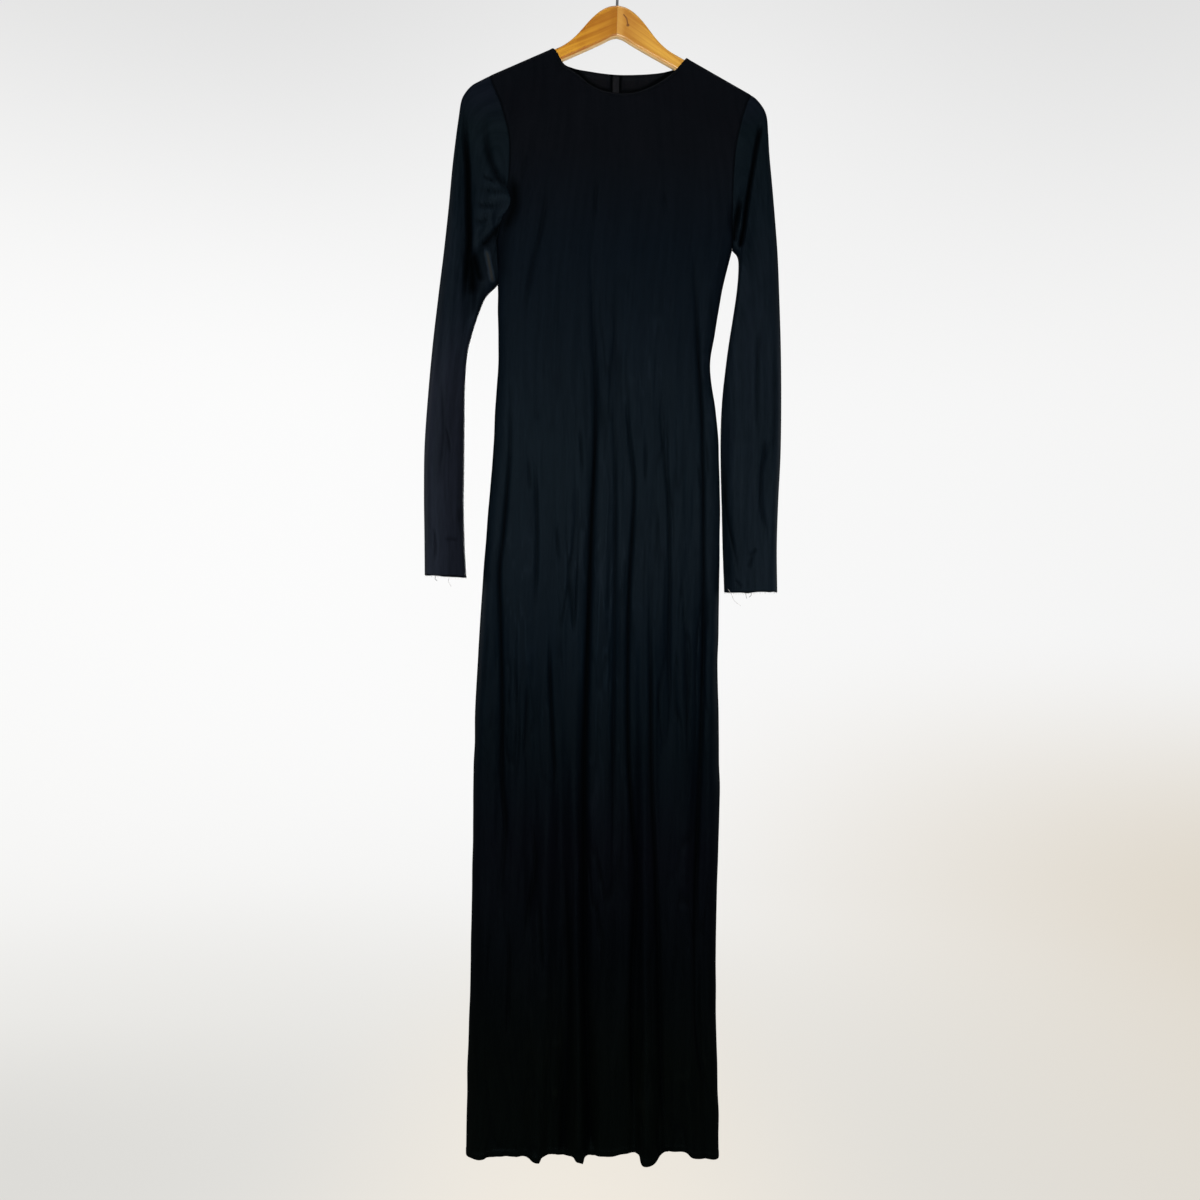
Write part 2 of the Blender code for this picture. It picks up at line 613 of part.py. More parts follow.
def wood_arm(name, side, colour):
    """One mitred half of the wooden hanger."""
    curve = bpy.data.curves.new(name, "CURVE")
    curve.dimensions = "2D"
    curve.fill_mode = "BOTH"
    curve.extrude = 0.5 * WOOD_THICKNESS * MM
    outline = []
    for out, height in arm_outline():
        x = side * out
        z = height - x * math.sin(ARM_TILT)
        outline.append((CROWN_X + x, CROWN_Z + z))
    outline[0] = (CROWN_X + side * MITRE_HALF_GAP, outline[0][1])
    outline[-1] = (CROWN_X + side * MITRE_HALF_GAP, outline[-1][1])
    spline = curve.splines.new("POLY")
    spline.points.add(len(outline) - 1)
    for point, (x, z) in zip(spline.points, outline):
        point.co = (x * MM, z * MM, 0.0, 1.0)
    spline.use_cyclic_u = True
    flat = bpy.data.objects.new(name + "_outline", curve)
    flat.rotation_euler = (math.radians(90.0), 0.0, 0.0)
    arm = as_mesh(flat, name, merge_flat=True)
    finish(arm, colour, 0.35)
    rounding = arm.modifiers.new("rounded edges", "BEVEL")
    rounding.width = WOOD_EDGE * MM
    rounding.segments = 2
    rounding.limit_method = "WEIGHT"
    mark_long_edges(arm.data, side)
    hole = arm.modifiers.new("stem hole", "BOOLEAN")
    hole.operation = "DIFFERENCE"
    hole.object = stem_cutter
    return arm


def mark_long_edges(mesh, side):
    """Weight the edges to be rounded: the outline's, front and back."""
    weights = mesh.attributes.new("bevel_weight_edge", "FLOAT", "EDGE")
    mitre = (CROWN_X + side * MITRE_HALF_GAP) * MM
    for edge in mesh.edges:
        ends = [mesh.vertices[i].co for i in edge.vertices]
        across = abs(ends[0].z - ends[1].z) > 0.5 * WOOD_THICKNESS * MM
        at_mitre = all(abs(end.x - mitre) < 0.01 * MM for end in ends)
        weights.data[edge.index].value = 0.0 if across or at_mitre else 1.0


def as_mesh(curve_object, name, merge_flat=False):
    """Turn a curve object into a welded mesh object in the parts' collection."""
    parts.objects.link(curve_object)
    bpy.context.view_layer.update()
    graph = bpy.context.evaluated_depsgraph_get()
    mesh = bpy.data.meshes.new_from_object(curve_object.evaluated_get(graph))
    shape = bmesh.new()
    shape.from_mesh(mesh)
    bmesh.ops.remove_doubles(shape, verts=shape.verts, dist=0.00001)
    if merge_flat:
        bmesh.ops.dissolve_limit(shape, angle_limit=0.01, verts=shape.verts, edges=shape.edges)
    shape.to_mesh(mesh)
    shape.free()
    mesh.name = name
    obj = bpy.data.objects.new(name, mesh)
    obj.matrix_world = curve_object.matrix_world
    parts.objects.link(obj)
    bpy.data.objects.remove(curve_object, do_unlink=True)
    return obj


def stem_hole_cutter():
    """Cylinder that leaves the hook's stem its hole in both arms."""
    depth = STEM_DEPTH + SEAM_HALF_GAP
    shape = bmesh.new()
    bmesh.ops.create_cone(
        shape,
        cap_ends=True,
        segments=16,
        radius1=STEM_HOLE_RADIUS * MM,
        radius2=STEM_HOLE_RADIUS * MM,
        depth=(depth + CUTTER_RISE) * MM,
    )
    mesh = bpy.data.meshes.new("stem_cutter")
    shape.to_mesh(mesh)
    shape.free()
    cutter = bpy.data.objects.new("stem_cutter", mesh)
    cutter.location = (STEM_X * MM, 0.0, (CROWN_Z + 0.5 * (CUTTER_RISE - depth)) * MM)
    cutter.hide_render = True
    cutter.display_type = "WIRE"
    cutters.objects.link(cutter)
    return cutter


def hook_points():
    """Centre line of the hook: up the stem, round the top and down to its tip."""
    radius = HOOK_INNER_RADIUS + WIRE_RADIUS
    centre_z = WIRE_RADIUS - radius
    points = [(STEM_X, CROWN_Z - STEM_DEPTH), (STEM_X, -47.5), (STEM_X + 0.9, -43.2)]
    points += [(STEM_X + 3.6, -39.5), (STEM_X + 7.6, -36.7)]
    first, last = math.radians(-50.0), math.radians(196.0)
    steps = 22
    for i in range(steps + 1):
        angle = first + (last - first) * i / steps
        points.append((radius * math.cos(angle), centre_z + radius * math.sin(angle)))
    tip_x, tip_z = points[-1]
    points.append((tip_x - 0.6, tip_z - 4.0))
    points.append((tip_x - 2.6, tip_z - 7.5))
    return points


def hook():
    curve = bpy.data.curves.new("hanger_hook", "CURVE")
    curve.dimensions = "3D"
    curve.bevel_depth = WIRE_RADIUS * MM
    curve.bevel_resolution = 2
    curve.use_fill_caps = True
    points = hook_points()
    spline = curve.splines.new("POLY")
    spline.points.add(len(points) - 1)
    for point, (x, z) in zip(spline.points, points):
        point.co = (x * MM, 0.0, z * MM, 1.0)
    wire = bpy.data.objects.new("hook_line", curve)
    return finish(as_mesh(wire, "hanger_hook"), STEEL, 0.3, 1.0)


for old in list(bpy.data.objects):
    bpy.data.objects.remove(old, do_unlink=True)
parts = bpy.data.collections.new("maxi_dress_on_hanger")
cutters = bpy.data.collections.new("cutters")
bpy.context.scene.collection.children.link(parts)
bpy.context.scene.collection.children.link(cutters)

front_shares = column_shares(NECK_COLUMNS, SHOULDER_COLUMNS)
back_shares = column_shares(BACK_NECK_COLUMNS, BACK_SHOULDER_COLUMNS)
cloth("front", panel_rows(front_shares, FRONT_BODY_ROWS, "front", FRONT_FOLDS), False, False)
cloth("back", panel_rows(back_shares, BACK_BODY_ROWS, "back", BACK_FOLDS), False, True)
sleeve("sleeve_right", "right", SLEEVE_RIGHT, FOLDS_RIGHT_SLEEVE)
sleeve("sleeve_left", "left", SLEEVE_LEFT, FOLDS_LEFT_SLEEVE)
neck_tape()
stem_cutter = stem_hole_cutter()
wood_arm("hanger_arm_right", -1.0, WOOD_DARK)
wood_arm("hanger_arm_left", 1.0, WOOD_LIGHT)
hook()
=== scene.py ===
import math

import bmesh
import bpy
import numpy as np
from mathutils import Matrix, Vector


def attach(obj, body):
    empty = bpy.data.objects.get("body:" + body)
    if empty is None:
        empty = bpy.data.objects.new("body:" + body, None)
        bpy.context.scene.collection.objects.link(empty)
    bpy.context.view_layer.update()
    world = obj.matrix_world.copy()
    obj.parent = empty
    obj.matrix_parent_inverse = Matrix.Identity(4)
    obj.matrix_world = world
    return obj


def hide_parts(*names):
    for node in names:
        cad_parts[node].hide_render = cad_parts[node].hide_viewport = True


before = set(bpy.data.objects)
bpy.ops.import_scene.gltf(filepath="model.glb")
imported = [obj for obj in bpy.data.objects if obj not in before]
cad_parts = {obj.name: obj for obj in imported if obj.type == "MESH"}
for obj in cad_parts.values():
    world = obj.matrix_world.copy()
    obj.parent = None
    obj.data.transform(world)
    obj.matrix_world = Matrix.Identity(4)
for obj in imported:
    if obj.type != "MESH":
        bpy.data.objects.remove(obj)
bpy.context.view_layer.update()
print("frame loaded:", ", ".join(sorted(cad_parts)))

mm = 0.001  # lengths below are in millimetres, and in metres where a note says so and in the materials


def throughKnots(knots, values, at):
    # smooth curve through values at rising knots
    knots, values = np.asarray(knots, float), np.asarray(values, float)
    at = np.clip(np.asarray(at, float), knots[0], knots[-1])
    slopes = np.gradient(values)
    slopes[1:-1] = (values[2:] - values[:-2]) / (knots[2:] - knots[:-2])
    slopes[0] = (values[1] - values[0]) / (knots[1] - knots[0])
    slopes[-1] = (values[-1] - values[-2]) / (knots[-1] - knots[-2])
    i = np.clip(np.searchsorted(knots, at, side="right") - 1, 0, len(knots) - 2)
    step = knots[i + 1] - knots[i]
    t = (at - knots[i]) / step
    rise = 3 * t**2 - 2 * t**3
    bend = (t**3 - 2 * t**2 + t) * slopes[i] + (t**3 - t**2) * slopes[i + 1]
    return values[i] * (1 - rise) + values[i + 1] * rise + step * bend


def tableCurve(table, key, name, at):
    order = np.argsort(table[key])
    return throughKnots(np.take(table[key], order), np.take(table[name], order), at)


def softStep(value, low, high):
    share = np.clip((value - low) / (high - low), 0.0, 1.0)
    return share * share * (3 - 2 * share)


def bell(share):
    # 1 in the middle, falling softly to 0 at -1 and 1
    return 0.5 + 0.5 * np.cos(math.pi * share)


def quarterRound(share):
    # the height of a quarter circle, 0 at its foot and 1 at its top
    return np.sqrt(np.clip(1 - (1 - share) ** 2, 0.0, 1.0))


def darkened(paintedShading, shade):
    # the darker of two shades, and what is light stays light where the second has none
    return np.where(shade > 0.02, np.maximum(paintedShading, shade), paintedShading)


def smoothPath(points, spacing):
    # the same path as evenly spaced points on a smooth line
    points = np.asarray(points, float)
    reached = np.append(0.0, np.cumsum(np.linalg.norm(np.diff(points, axis=0), axis=1)))
    count = max(2, int(round(reached[-1] / spacing)) + 1)
    at = np.linspace(0.0, reached[-1], count)
    return np.stack([throughKnots(reached, points[:, k], at) for k in range(points.shape[1])], axis=1)


def streaks(x, z, across, along, seed):
    # soft random relief, drawn out lengthwise, about -1 to 1, which repeats after so many cells
    cells = 256
    draw = np.random.default_rng(seed)
    heights = draw.normal(0.0, 0.5, (cells, cells))
    shifts = draw.uniform(0.0, 50.0, cells)
    place = x / across + 100.0
    left = np.floor(place).astype(int)
    mix = softStep(place - left, 0.0, 1.0)

    def line(column):
        column = column % cells
        down = z / along + 120.0 + shifts[column]
        first = np.floor(down).astype(int)
        part = softStep(down - first, 0.0, 1.0)
        return heights[column, first % cells] * (1 - part) + heights[column, (first + 1) % cells] * part

    return line(left) * (1 - mix) + line(left + 1) * mix


creaseShape = {  # what a crease has where its row doesn't say otherwise
    "spacing": 14.0,
    "sharp": 1.8,
    "fade": 0.3,  # share of its length in which each end fades
    "lip": 0.16,  # height of the low lips beside a trough, as a share of its depth
    "tight": 2.0,
    # painted shade inside a trough, by its depth
    "dark": (0.16, -0.17, 0.9),  # at no depth, more for each millimetre, and at most
}


def crease(depth, width, *path, **shape):
    # one crease along points of x and z down the cloth; valleys are negative
    return {"depth": depth, "width": width, "path": path, **shape}


def creaseRelief(creases, x, z):
    # height of creases, each fading at both ends, and how dark it is inside them
    relief, paintedShading = np.zeros_like(x), np.zeros_like(x)
    for row in creases:
        path = smoothPath(row["path"], creaseShape["spacing"])
        width, depth = row["width"], row["depth"]
        power = row.get("sharp", creaseShape["sharp"])
        near = (x > path[:, 0].min() - width) & (x < path[:, 0].max() + width)
        near &= (z > path[:, 1].min() - width) & (z < path[:, 1].max() + width)
        if not near.any():
            continue
        px, pz = x[near], z[near]
        best, along, side = np.full(px.shape, 1e9), np.zeros(px.shape), np.zeros(px.shape)
        for k in range(len(path) - 1):
            ax, az = path[k]
            dx, dz = path[k + 1] - path[k]
            t = np.clip(((px - ax) * dx + (pz - az) * dz) / (dx * dx + dz * dz), 0.0, 1.0)
            gap = np.hypot(px - ax - t * dx, pz - az - t * dz)
            nearer = gap < best
            best = np.where(nearer, gap, best)
            along = np.where(nearer, (k + t) / (len(path) - 1), along)
            side = np.where(nearer, dx * (pz - az) - dz * (px - ax), side)
        fadeIn, fadeOut = [row.get(name, creaseShape["fade"]) for name in ("fadeIn", "fadeOut")]
        swell = softStep(along, 0.0, fadeIn) * (1 - softStep(along, 1 - fadeOut, 1.0))
        widen = width * (1 + row.get("widen", 0.0) * along)
        if "steep" in row:  # a layer that ends here and lies over the lower one
            widen = np.where(side > 0, widen, row["steep"])
        across = np.clip(best / widen, 0.0, 1.0)
        if depth < 0:  # a sharp trough between two low lips
            profile = (1 - across) ** power - creaseShape["lip"] * (1 - bell(2 * across))
        else:
            profile = bell(across)
        relief[near] += depth * swell * profile
        # painted shade inside a trough, darker where it is deeper
        if depth < 0:
            least, more, most = creaseShape["dark"]
            dark = row.get("dark", min(most, least + more * depth))
            inside = dark * swell * (1 - across) ** row.get("tight", creaseShape["tight"])
            paintedShading[near] = darkened(paintedShading[near], inside)
        # painted highlight along a raised crease that asks for one
        elif "light" in row:
            bright = row["light"] * swell * (1 - across)
            kept = bright < 0.5 if row["light"] > 1.0 else paintedShading[near] > 0.05
            paintedShading[near] = np.where(kept, paintedShading[near], -bright)
    return relief, paintedShading


def gridFaces(rows, columns, closed, flip):
    wide = columns if closed else columns - 1
    row, column = np.meshgrid(np.arange(rows - 1), np.arange(wide), indexing="ij")
    here, below, beside = row * columns, (row + 1) * columns, (column + 1) % columns
    quads = np.stack([here + column, below + column, below + beside, here + beside], axis=-1).reshape(-1, 4)
    return (quads[:, ::-1] if flip else quads).tolist()


def meshFrom(name, points, edges, faces, scale=mm):
    mesh = bpy.data.meshes.new(name)
    mesh.from_pydata((np.asarray(points).reshape(-1, 3) * scale).tolist(), edges, faces)
    return mesh


def addObject(name, data):
    obj = bpy.data.objects.new(name, data)
    bpy.context.scene.collection.objects.link(obj)
    return obj


def applyModifiers(obj):
    # what the modifiers make becomes the object's own mesh
    bpy.context.view_layer.update()
    graph = bpy.context.evaluated_depsgraph_get()
    final = bpy.data.meshes.new_from_object(obj.evaluated_get(graph))
    obj.modifiers.clear()
    obj.data = final
    return final


def clothMesh(name, points, closed, flip, acrossMm, downMm, shades=None):
    # a grid of points in millimetres becomes a cloth with a UV map in metres
    rows, columns = points.shape[:2]
    mesh = meshFrom(name, points, [], gridFaces(rows, columns, closed, flip))
    wide = columns if closed else columns - 1
    r, c = np.meshgrid(np.arange(rows - 1), np.arange(wide), indexing="ij")
    corners = [(r, c), (r + 1, c), (r + 1, c + 1), (r, c + 1)]
    uv = np.stack([np.stack([acrossMm[i, j], downMm[i, j]], axis=-1) for i, j in corners], axis=2)
    uv = uv.reshape(-1, 4, 2)
    if flip:
        uv = uv[:, ::-1]
    layer = mesh.uv_layers.new(name="cut")
    layer.data.foreach_set("uv", (uv.reshape(-1) * mm).astype(np.float32))
    for label, values in (shades or {}).items():  # painted shade at each point, and painted highlight where below zero, for the materials
        kept = mesh.attributes.new(label, "FLOAT", "POINT")
        kept.data.foreach_set("value", np.clip(values, -2.0, 1.0).reshape(-1).astype(np.float32))
    mesh.shade_smooth()
    return addObject(name, mesh)


def giveWall(obj, thick):
    # the mesh becomes the middle of a wall
    wall = obj.modifiers.new("wall", "SOLIDIFY")
    wall.thickness = thick * mm
    wall.offset = 0.0
    return wall


def giveClothWall(obj, bandShare, outer, inner):
    # a wall thin in the middle and thick where the cloth is turned over
    obj.data.materials.append(outer)
    obj.data.materials.append(inner)
    group = obj.vertex_groups.new(name="turned")
    shares = bandShare.reshape(-1)
    for i in np.nonzero(shares > 0.0)[0]:
        group.add([int(i)], float(shares[i]), "REPLACE")
    wall = giveWall(obj, dress["turnedWall"])
    wall.vertex_group = "turned"
    wall.thickness_vertex_group = dress["wall"] / dress["turnedWall"]
    wall.material_offset = 1
    wall.material_offset_rim = 0


def tubeMesh(name, path, radii, sides, material):
    # round tube along a path in millimetres, closed at both ends
    path = np.asarray(path, float)
    radii = np.broadcast_to(np.asarray(radii, float), (len(path),))
    tangent = np.gradient(path, axis=0)
    tangent /= np.linalg.norm(tangent, axis=1)[:, None]
    side = np.cross(tangent[0], (0.0, 1.0, 0.0) if abs(tangent[0][1]) < 0.9 else (1.0, 0.0, 0.0))
    rings = []
    for k in range(len(path)):
        side = side - tangent[k] * np.dot(side, tangent[k])
        side /= np.linalg.norm(side)
        up = np.cross(tangent[k], side)
        turn = np.arange(sides) * 2 * math.pi / sides
        rings.append(path[k] + radii[k] * (np.cos(turn)[:, None] * side + np.sin(turn)[:, None] * up))
    points = np.concatenate(rings)
    faces = gridFaces(len(path), sides, True, True)
    faces.append(list(range(sides))[::-1])
    faces.append(list(range(len(points) - sides, len(points))))
    mesh = meshFrom(name, points, [], faces)
    mesh.validate()
    mesh.shade_smooth()
    mesh.materials.append(material)
    return addObject(name, mesh)


class Wire:
    # a socket of a node tree that can be used in sums
    def __init__(self, tree, socket=None):
        self.tree, self.socket = tree, socket

    def node(self, kind, settings=None, inputs=None, out=0):
        made = self.tree.nodes.new(kind)
        for name, value in (settings or {}).items():
            if name == "stops":
                ramp = made.color_ramp
                for place, colour in value[1:-1]:
                    ramp.elements.new(place)
                for stop, (place, colour) in zip(ramp.elements, value):
                    stop.position = place
                    stop.color = (*colour, 1.0)
            else:
                setattr(made, name, value)
        for name, value in (inputs or {}).items():
            if isinstance(value, Wire):
                self.tree.links.new(value.socket, made.inputs[name])
            else:
                made.inputs[name].default_value = value
        return Wire(self.tree, made.outputs[out]) if made.outputs else made

    def other(self, name):
        return Wire(self.tree, self.socket.node.outputs[name])

    def maths(self, operation, first, second=0.0):
        return self.node("ShaderNodeMath", {"operation": operation}, {0: first, 1: second})

    def __add__(self, value):
        return self.maths("ADD", self, value)

    __radd__ = __add__

    def __sub__(self, value):
        return self.maths("SUBTRACT", self, value)

    def __rsub__(self, value):
        return self.maths("SUBTRACT", value, self)

    def __mul__(self, value):
        return self.maths("MULTIPLY", self, value)

    __rmul__ = __mul__

    def __truediv__(self, value):
        return self.maths("DIVIDE", self, value)

    def between(self, low, high):
        # 0 below low, 1 above high, soft in the middle
        return self.node(
            "ShaderNodeMapRange",
            {"interpolation_type": "SMOOTHSTEP"},
            {"Value": self, "From Min": low, "From Max": high, "To Min": 0.0, "To Max": 1.0},
        )

    def mix(self, first, second):
        # colour between two colours, with this wire as the factor
        first, second = [(*c, 1.0) if isinstance(c, tuple) else c for c in (first, second)]
        return self.node("ShaderNodeMix", {"data_type": "RGBA"}, {0: self, 6: first, 7: second}, 2)

    def tinted(self, colour):
        settings = {"data_type": "RGBA", "blend_type": "MULTIPLY"}
        return self.node("ShaderNodeMix", settings, {0: 1.0, 6: self, 7: colour}, 2)

    def noise(self, scale, detail=2.0):
        return self.node("ShaderNodeTexNoise", {}, {"Vector": self, "Scale": scale, "Detail": detail})

    def stretched(self, scale, turn=(0.0, 0.0, 0.0)):
        return self.node("ShaderNodeMapping", {}, {"Vector": self, "Rotation": turn, "Scale": scale})

    def split(self):
        # x of a vector, whose y and z are its other outputs
        return self.node("ShaderNodeSeparateXYZ", {}, {0: self})

    def length(self, x, z):
        return self.maths("SQRT", self.maths("POWER", x, 2.0) + self.maths("POWER", z, 2.0))

    def inMetres(self):
        # object coordinates
        return self.node("ShaderNodeTexCoord", out="Object")

    def bump(self, strength, distance):
        return self.node("ShaderNodeBump", {}, {"Strength": strength, "Distance": distance, "Height": self})


def newMaterial(name, fixed):
    material = bpy.data.materials.new(name)
    material.use_nodes = True
    shader = material.node_tree.nodes["Principled BSDF"]
    for socket, value in fixed.items():
        shader.inputs[socket].default_value = value
    return material, Wire(material.node_tree), shader


def feed(shader, wires):
    for name, wire in wires.items():
        wire.tree.links.new(wire.socket, shader.inputs[name])


jersey = {
    "wale": 0.00072,  # metres from rib to rib
    "course": 0.00058,
    "dark": (0.0017, 0.0035, 0.0056),
    "light": (0.0036, 0.0066, 0.0098),
    "inside": (0.0060, 0.0086, 0.0098),
    # painted light: the sleeves are given lighter tones than the body, and the right forearm lighter still
    "leftSleeve": (0.0056, 0.0090, 0.0134),
    "rightSleeve": (0.0062, 0.0096, 0.0142),
    "rightLitForearm": (0.0108, 0.0131, 0.0202),
    "ridge": (0.0090, 0.0140, 0.0195),  # painted highlight where thin folds catch the light
    "lit": (0.0180, 0.0165, 0.0135),  # painted highlight on the one fold that stands up into the light
    "creaseShadeColour": (0.0001, 0.0002, 0.0003),  # painted shade deep in the creases
    "drawn": (150.0, 7.0, 1.0),  # how fine the tone's streaks and clouds are, across and along
    "streaky": (520.0, 45.0, 1.0),
    "cloudy": (9.0, 4.0, 1.0),
    "pilling": 900.0,
    "tone": {"even": 0.065, "drawn": 0.4, "cloudy": 0.22, "streaky": 0.9, "knit": 0.05, "pilling": 0.2},
    "litForearm": (-0.60, -0.46),  # where the forearm's painted light ends and has ended
    "knit": (0.6, 0.25),  # heights of the ribs and of the loops
    "relief": (1.0, 1.5, 2.0),  # shares of the knit, the streaks and the pilling
    "bump": (0.35, 0.00012),
    "specular": 0.021,
    "gleam": (0.6, 0.85, 1.0, 1.0),
    "roughness": (0.42, 0.12, 0.4),  # plain, more in the clouds, more in the creases
    "length": 1.62,
    "heights": [  # share of the length up from the hem, and how much painted shade dims the cloth's colour there
        (0.0, (0.42, 0.36, 0.18)),
        (0.09, (0.34, 0.28, 0.15)),
        (0.175, (0.26, 0.21, 0.21)),
        (0.26, (0.38, 0.24, 0.30)),
        (0.343, (0.26, 0.34, 0.38)),
        (0.426, (0.45, 0.56, 0.65)),
        (0.51, (0.86, 0.86, 0.90)),
        (0.593, (0.90, 0.91, 0.93)),
        (0.677, (0.68, 0.70, 0.78)),
        (0.76, (0.50, 0.52, 0.62)),
        (0.844, (0.72, 0.42, 0.42)),
        (1.0, (0.72, 0.42, 0.42)),
    ],
    # the same painted shade by height for the sleeves
    "armHeightShade": [
        (0.0, (1.0, 1.0, 1.0)),
        (0.59, (0.94, 0.94, 0.96)),
        (0.72, (0.80, 0.78, 0.82)),
        (0.79, (0.62, 0.68, 0.70)),
        (0.86, (0.60, 0.68, 0.62)),
        (0.888, (0.69, 0.60, 0.70)),
        (1.0, (0.69, 0.60, 0.70)),
    ],
}


def jerseyMaterial(name, shade, light, heights, litForearm=None):
    material, start, shader = newMaterial(name, {
        "Specular IOR Level": jersey["specular"], "Specular Tint": jersey["gleam"],
    })
    cut = start.node("ShaderNodeUVMap", {"uv_map": "cut"})
    across = cut.split()
    along = across.other("Y")
    ribs = start.maths("SINE", across * (2 * math.pi / jersey["wale"]))
    loops = start.maths("SINE", along * (2 * math.pi / jersey["course"]))
    knit = ribs * jersey["knit"][0] + loops * jersey["knit"][1]
    drawn = cut.stretched(jersey["drawn"]).noise(1.0, 3.0)
    cloudy = cut.stretched(jersey["cloudy"]).noise(1.0)
    streaky = cut.stretched(jersey["streaky"]).noise(1.0)
    pilling = cut.noise(jersey["pilling"]).between(0.62, 0.78)
    part = jersey["tone"]
    tone = drawn.between(0.3, 0.7) * part["drawn"] + cloudy.between(0.3, 0.7) * part["cloudy"] + part["even"]
    tone = tone + (streaky - 0.5) * part["streaky"] + knit * part["knit"] + pilling * part["pilling"]
    height = start.inMetres().split().other("Z")
    darkTone, lightTone = jersey["dark"], light
    # painted light: the right forearm is lighter below these heights
    if litForearm:
        upper = height.between(*jersey["litForearm"])
        darkTone = upper.mix(tuple(0.5 * c for c in litForearm), darkTone)
        lightTone = upper.mix(litForearm, lightTone)
    colour = tone.mix(darkTone, lightTone)
    # painted shade and painted highlight kept at each point, below zero for the highlight
    paintedShading = start.node("ShaderNodeAttribute", {"attribute_name": shade}, {}, "Fac")
    paintedHighlightAmount = start.maths("MAXIMUM", paintedShading * -1.0, 0.0)
    paintedShadeAmount = start.maths("MAXIMUM", paintedShading, 0.0)
    colour = paintedHighlightAmount.mix(colour, jersey["ridge"])
    colour = (paintedHighlightAmount - 1.0).mix(colour, jersey["lit"])
    # painted shade by height: darker towards the hem and at the chest
    paintedHeightShade = start.node("ShaderNodeValToRGB", {"stops": heights}, {0: height / jersey["length"] + 1.0})
    relief = knit * jersey["relief"][0] + drawn * jersey["relief"][1] + pilling * jersey["relief"][2]
    plain, clouded, creased = jersey["roughness"]
    feed(shader, {
        "Base Color": paintedShadeAmount.mix(colour.tinted(paintedHeightShade), jersey["creaseShadeColour"]),
        "Roughness": plain + cloudy * clouded + paintedShadeAmount * creased,
        "Normal": relief.bump(*jersey["bump"]),
    })
    return material


jerseyOutside = jerseyMaterial("jerseyOutside", "paintedShading", jersey["light"], jersey["heights"])
jerseyInside = jerseyMaterial("jerseyInside", "inner", jersey["inside"], jersey["heights"])
jerseySleeve = {
    "left": jerseyMaterial("jerseyLeftSleevePaintedLight", "paintedShading", jersey["leftSleeve"], jersey["armHeightShade"]),
    "right": jerseyMaterial("jerseyRightSleevePaintedLight", "paintedShading", jersey["rightSleeve"], jersey["armHeightShade"],
                            jersey["rightLitForearm"]),
}


dress = {  # millimetres, +X to the wearer's left, the front faces -Y
    "shoulderRight": (-169.5, -157.5),
    "shoulderLeft": (184.5, -174.3),
    "neckRight": (-85.5, -118.3),
    "neckLeft": (96.5, -126.9),
    "crownX": 0.8,
    "underarmRight": -386.0,
    "underarmLeft": -384.0,
    "hemRight": -1617.0,
    "hemLeft": -1613.0,
    "rollRadius": 7.7,
    "rollSquareness": 2.5,
    "underarmRoll": 70.0,
    "sideRoll": 17.0,
    "hugEnd": 18.0,
    "fullStart": 85.0,
    "foldFade": (2.0, 22.0),  # folds come in between these distances from a panel's edges
    "calm": (25.0, 130.0),  # and the fine relief between these distances below the shoulder line
    "seamGap": 0.06,  # the panels' edges meet this close to the middle plane
    "seamDip": 0.55,  # how far sewn edges pull in
    "seamPull": (0.3, 2.4),  # at most where the panel is this near the middle plane, and no more from there
    "holePull": 3.2,
    "wall": 0.9,
    "turnedWall": 1.7,
    "neckBand": 5.5,
    "hemBand": 9.0,
    "sideWave": 0.8,  # unevenness of the side folds, its size across and down, and its seeds
    "sideWaveSize": (9.0, 34.0),
    "sideSeeds": {"right": 3, "left": 8},
    "neckBlend": 9.0,  # how far in from the neck points the turned edge starts
    "neckRoll": 1.4,  # how far the turned neck edge curls inwards
    "neckRollReach": 3.0,
    "neckGroove": 0.4,  # and the row of stitches presses in
    "grooveHalf": 1.5,
    # painted shade along the neck rim and in the row of stitches below it
    "neckRimShade": 0.85,
    "neckRimShadeReach": (0.4, 2.4),
    "stitchGrooveShade": 0.55,
    "sewnHalf": 1.4,
    # inside the back, painted shadow on both sides of the tape, and painted shade where the front lies close
    "tapeShade": {"x": 1.5, "apart": 6.3, "low": -196.0, "dark": 0.95},
    "neckShade": {"above": 7.0, "soft": 3.0, "reach": 8.5, "dark": 0.92},
    "sewnEdgeShade": 0.6,  # how dark the painted shade along the sewn edges is
    "edgeReach": (0.5, 3.5),
    "turnedShare": 0.55,  # how thick the very edge of a turned band is
    "stitchedAt": 4.4,
}
neckline = {
    "x": [-85.5, -79.5, -74.0, -68.0, -59.0, -50.0, -34.5, -20.0, -5.0, 11.0, 31.0, 51.0, 68.0, 82.0, 90.0,
          96.5],
    "front": [-118.3, -124.6, -134.0, -142.0, -148.4, -154.4, -167.5, -175.0, -178.5, -179.5, -176.7,
              -167.8, -156.4, -143.8, -134.8, -126.9],
    "back": [-118.3, -123.0, -129.8, -136.0, -139.4, -141.6, -143.6, -145.3, -146.4, -146.8, -146.2, -144.8,
             -142.2, -137.4, -131.4, -126.9],
}
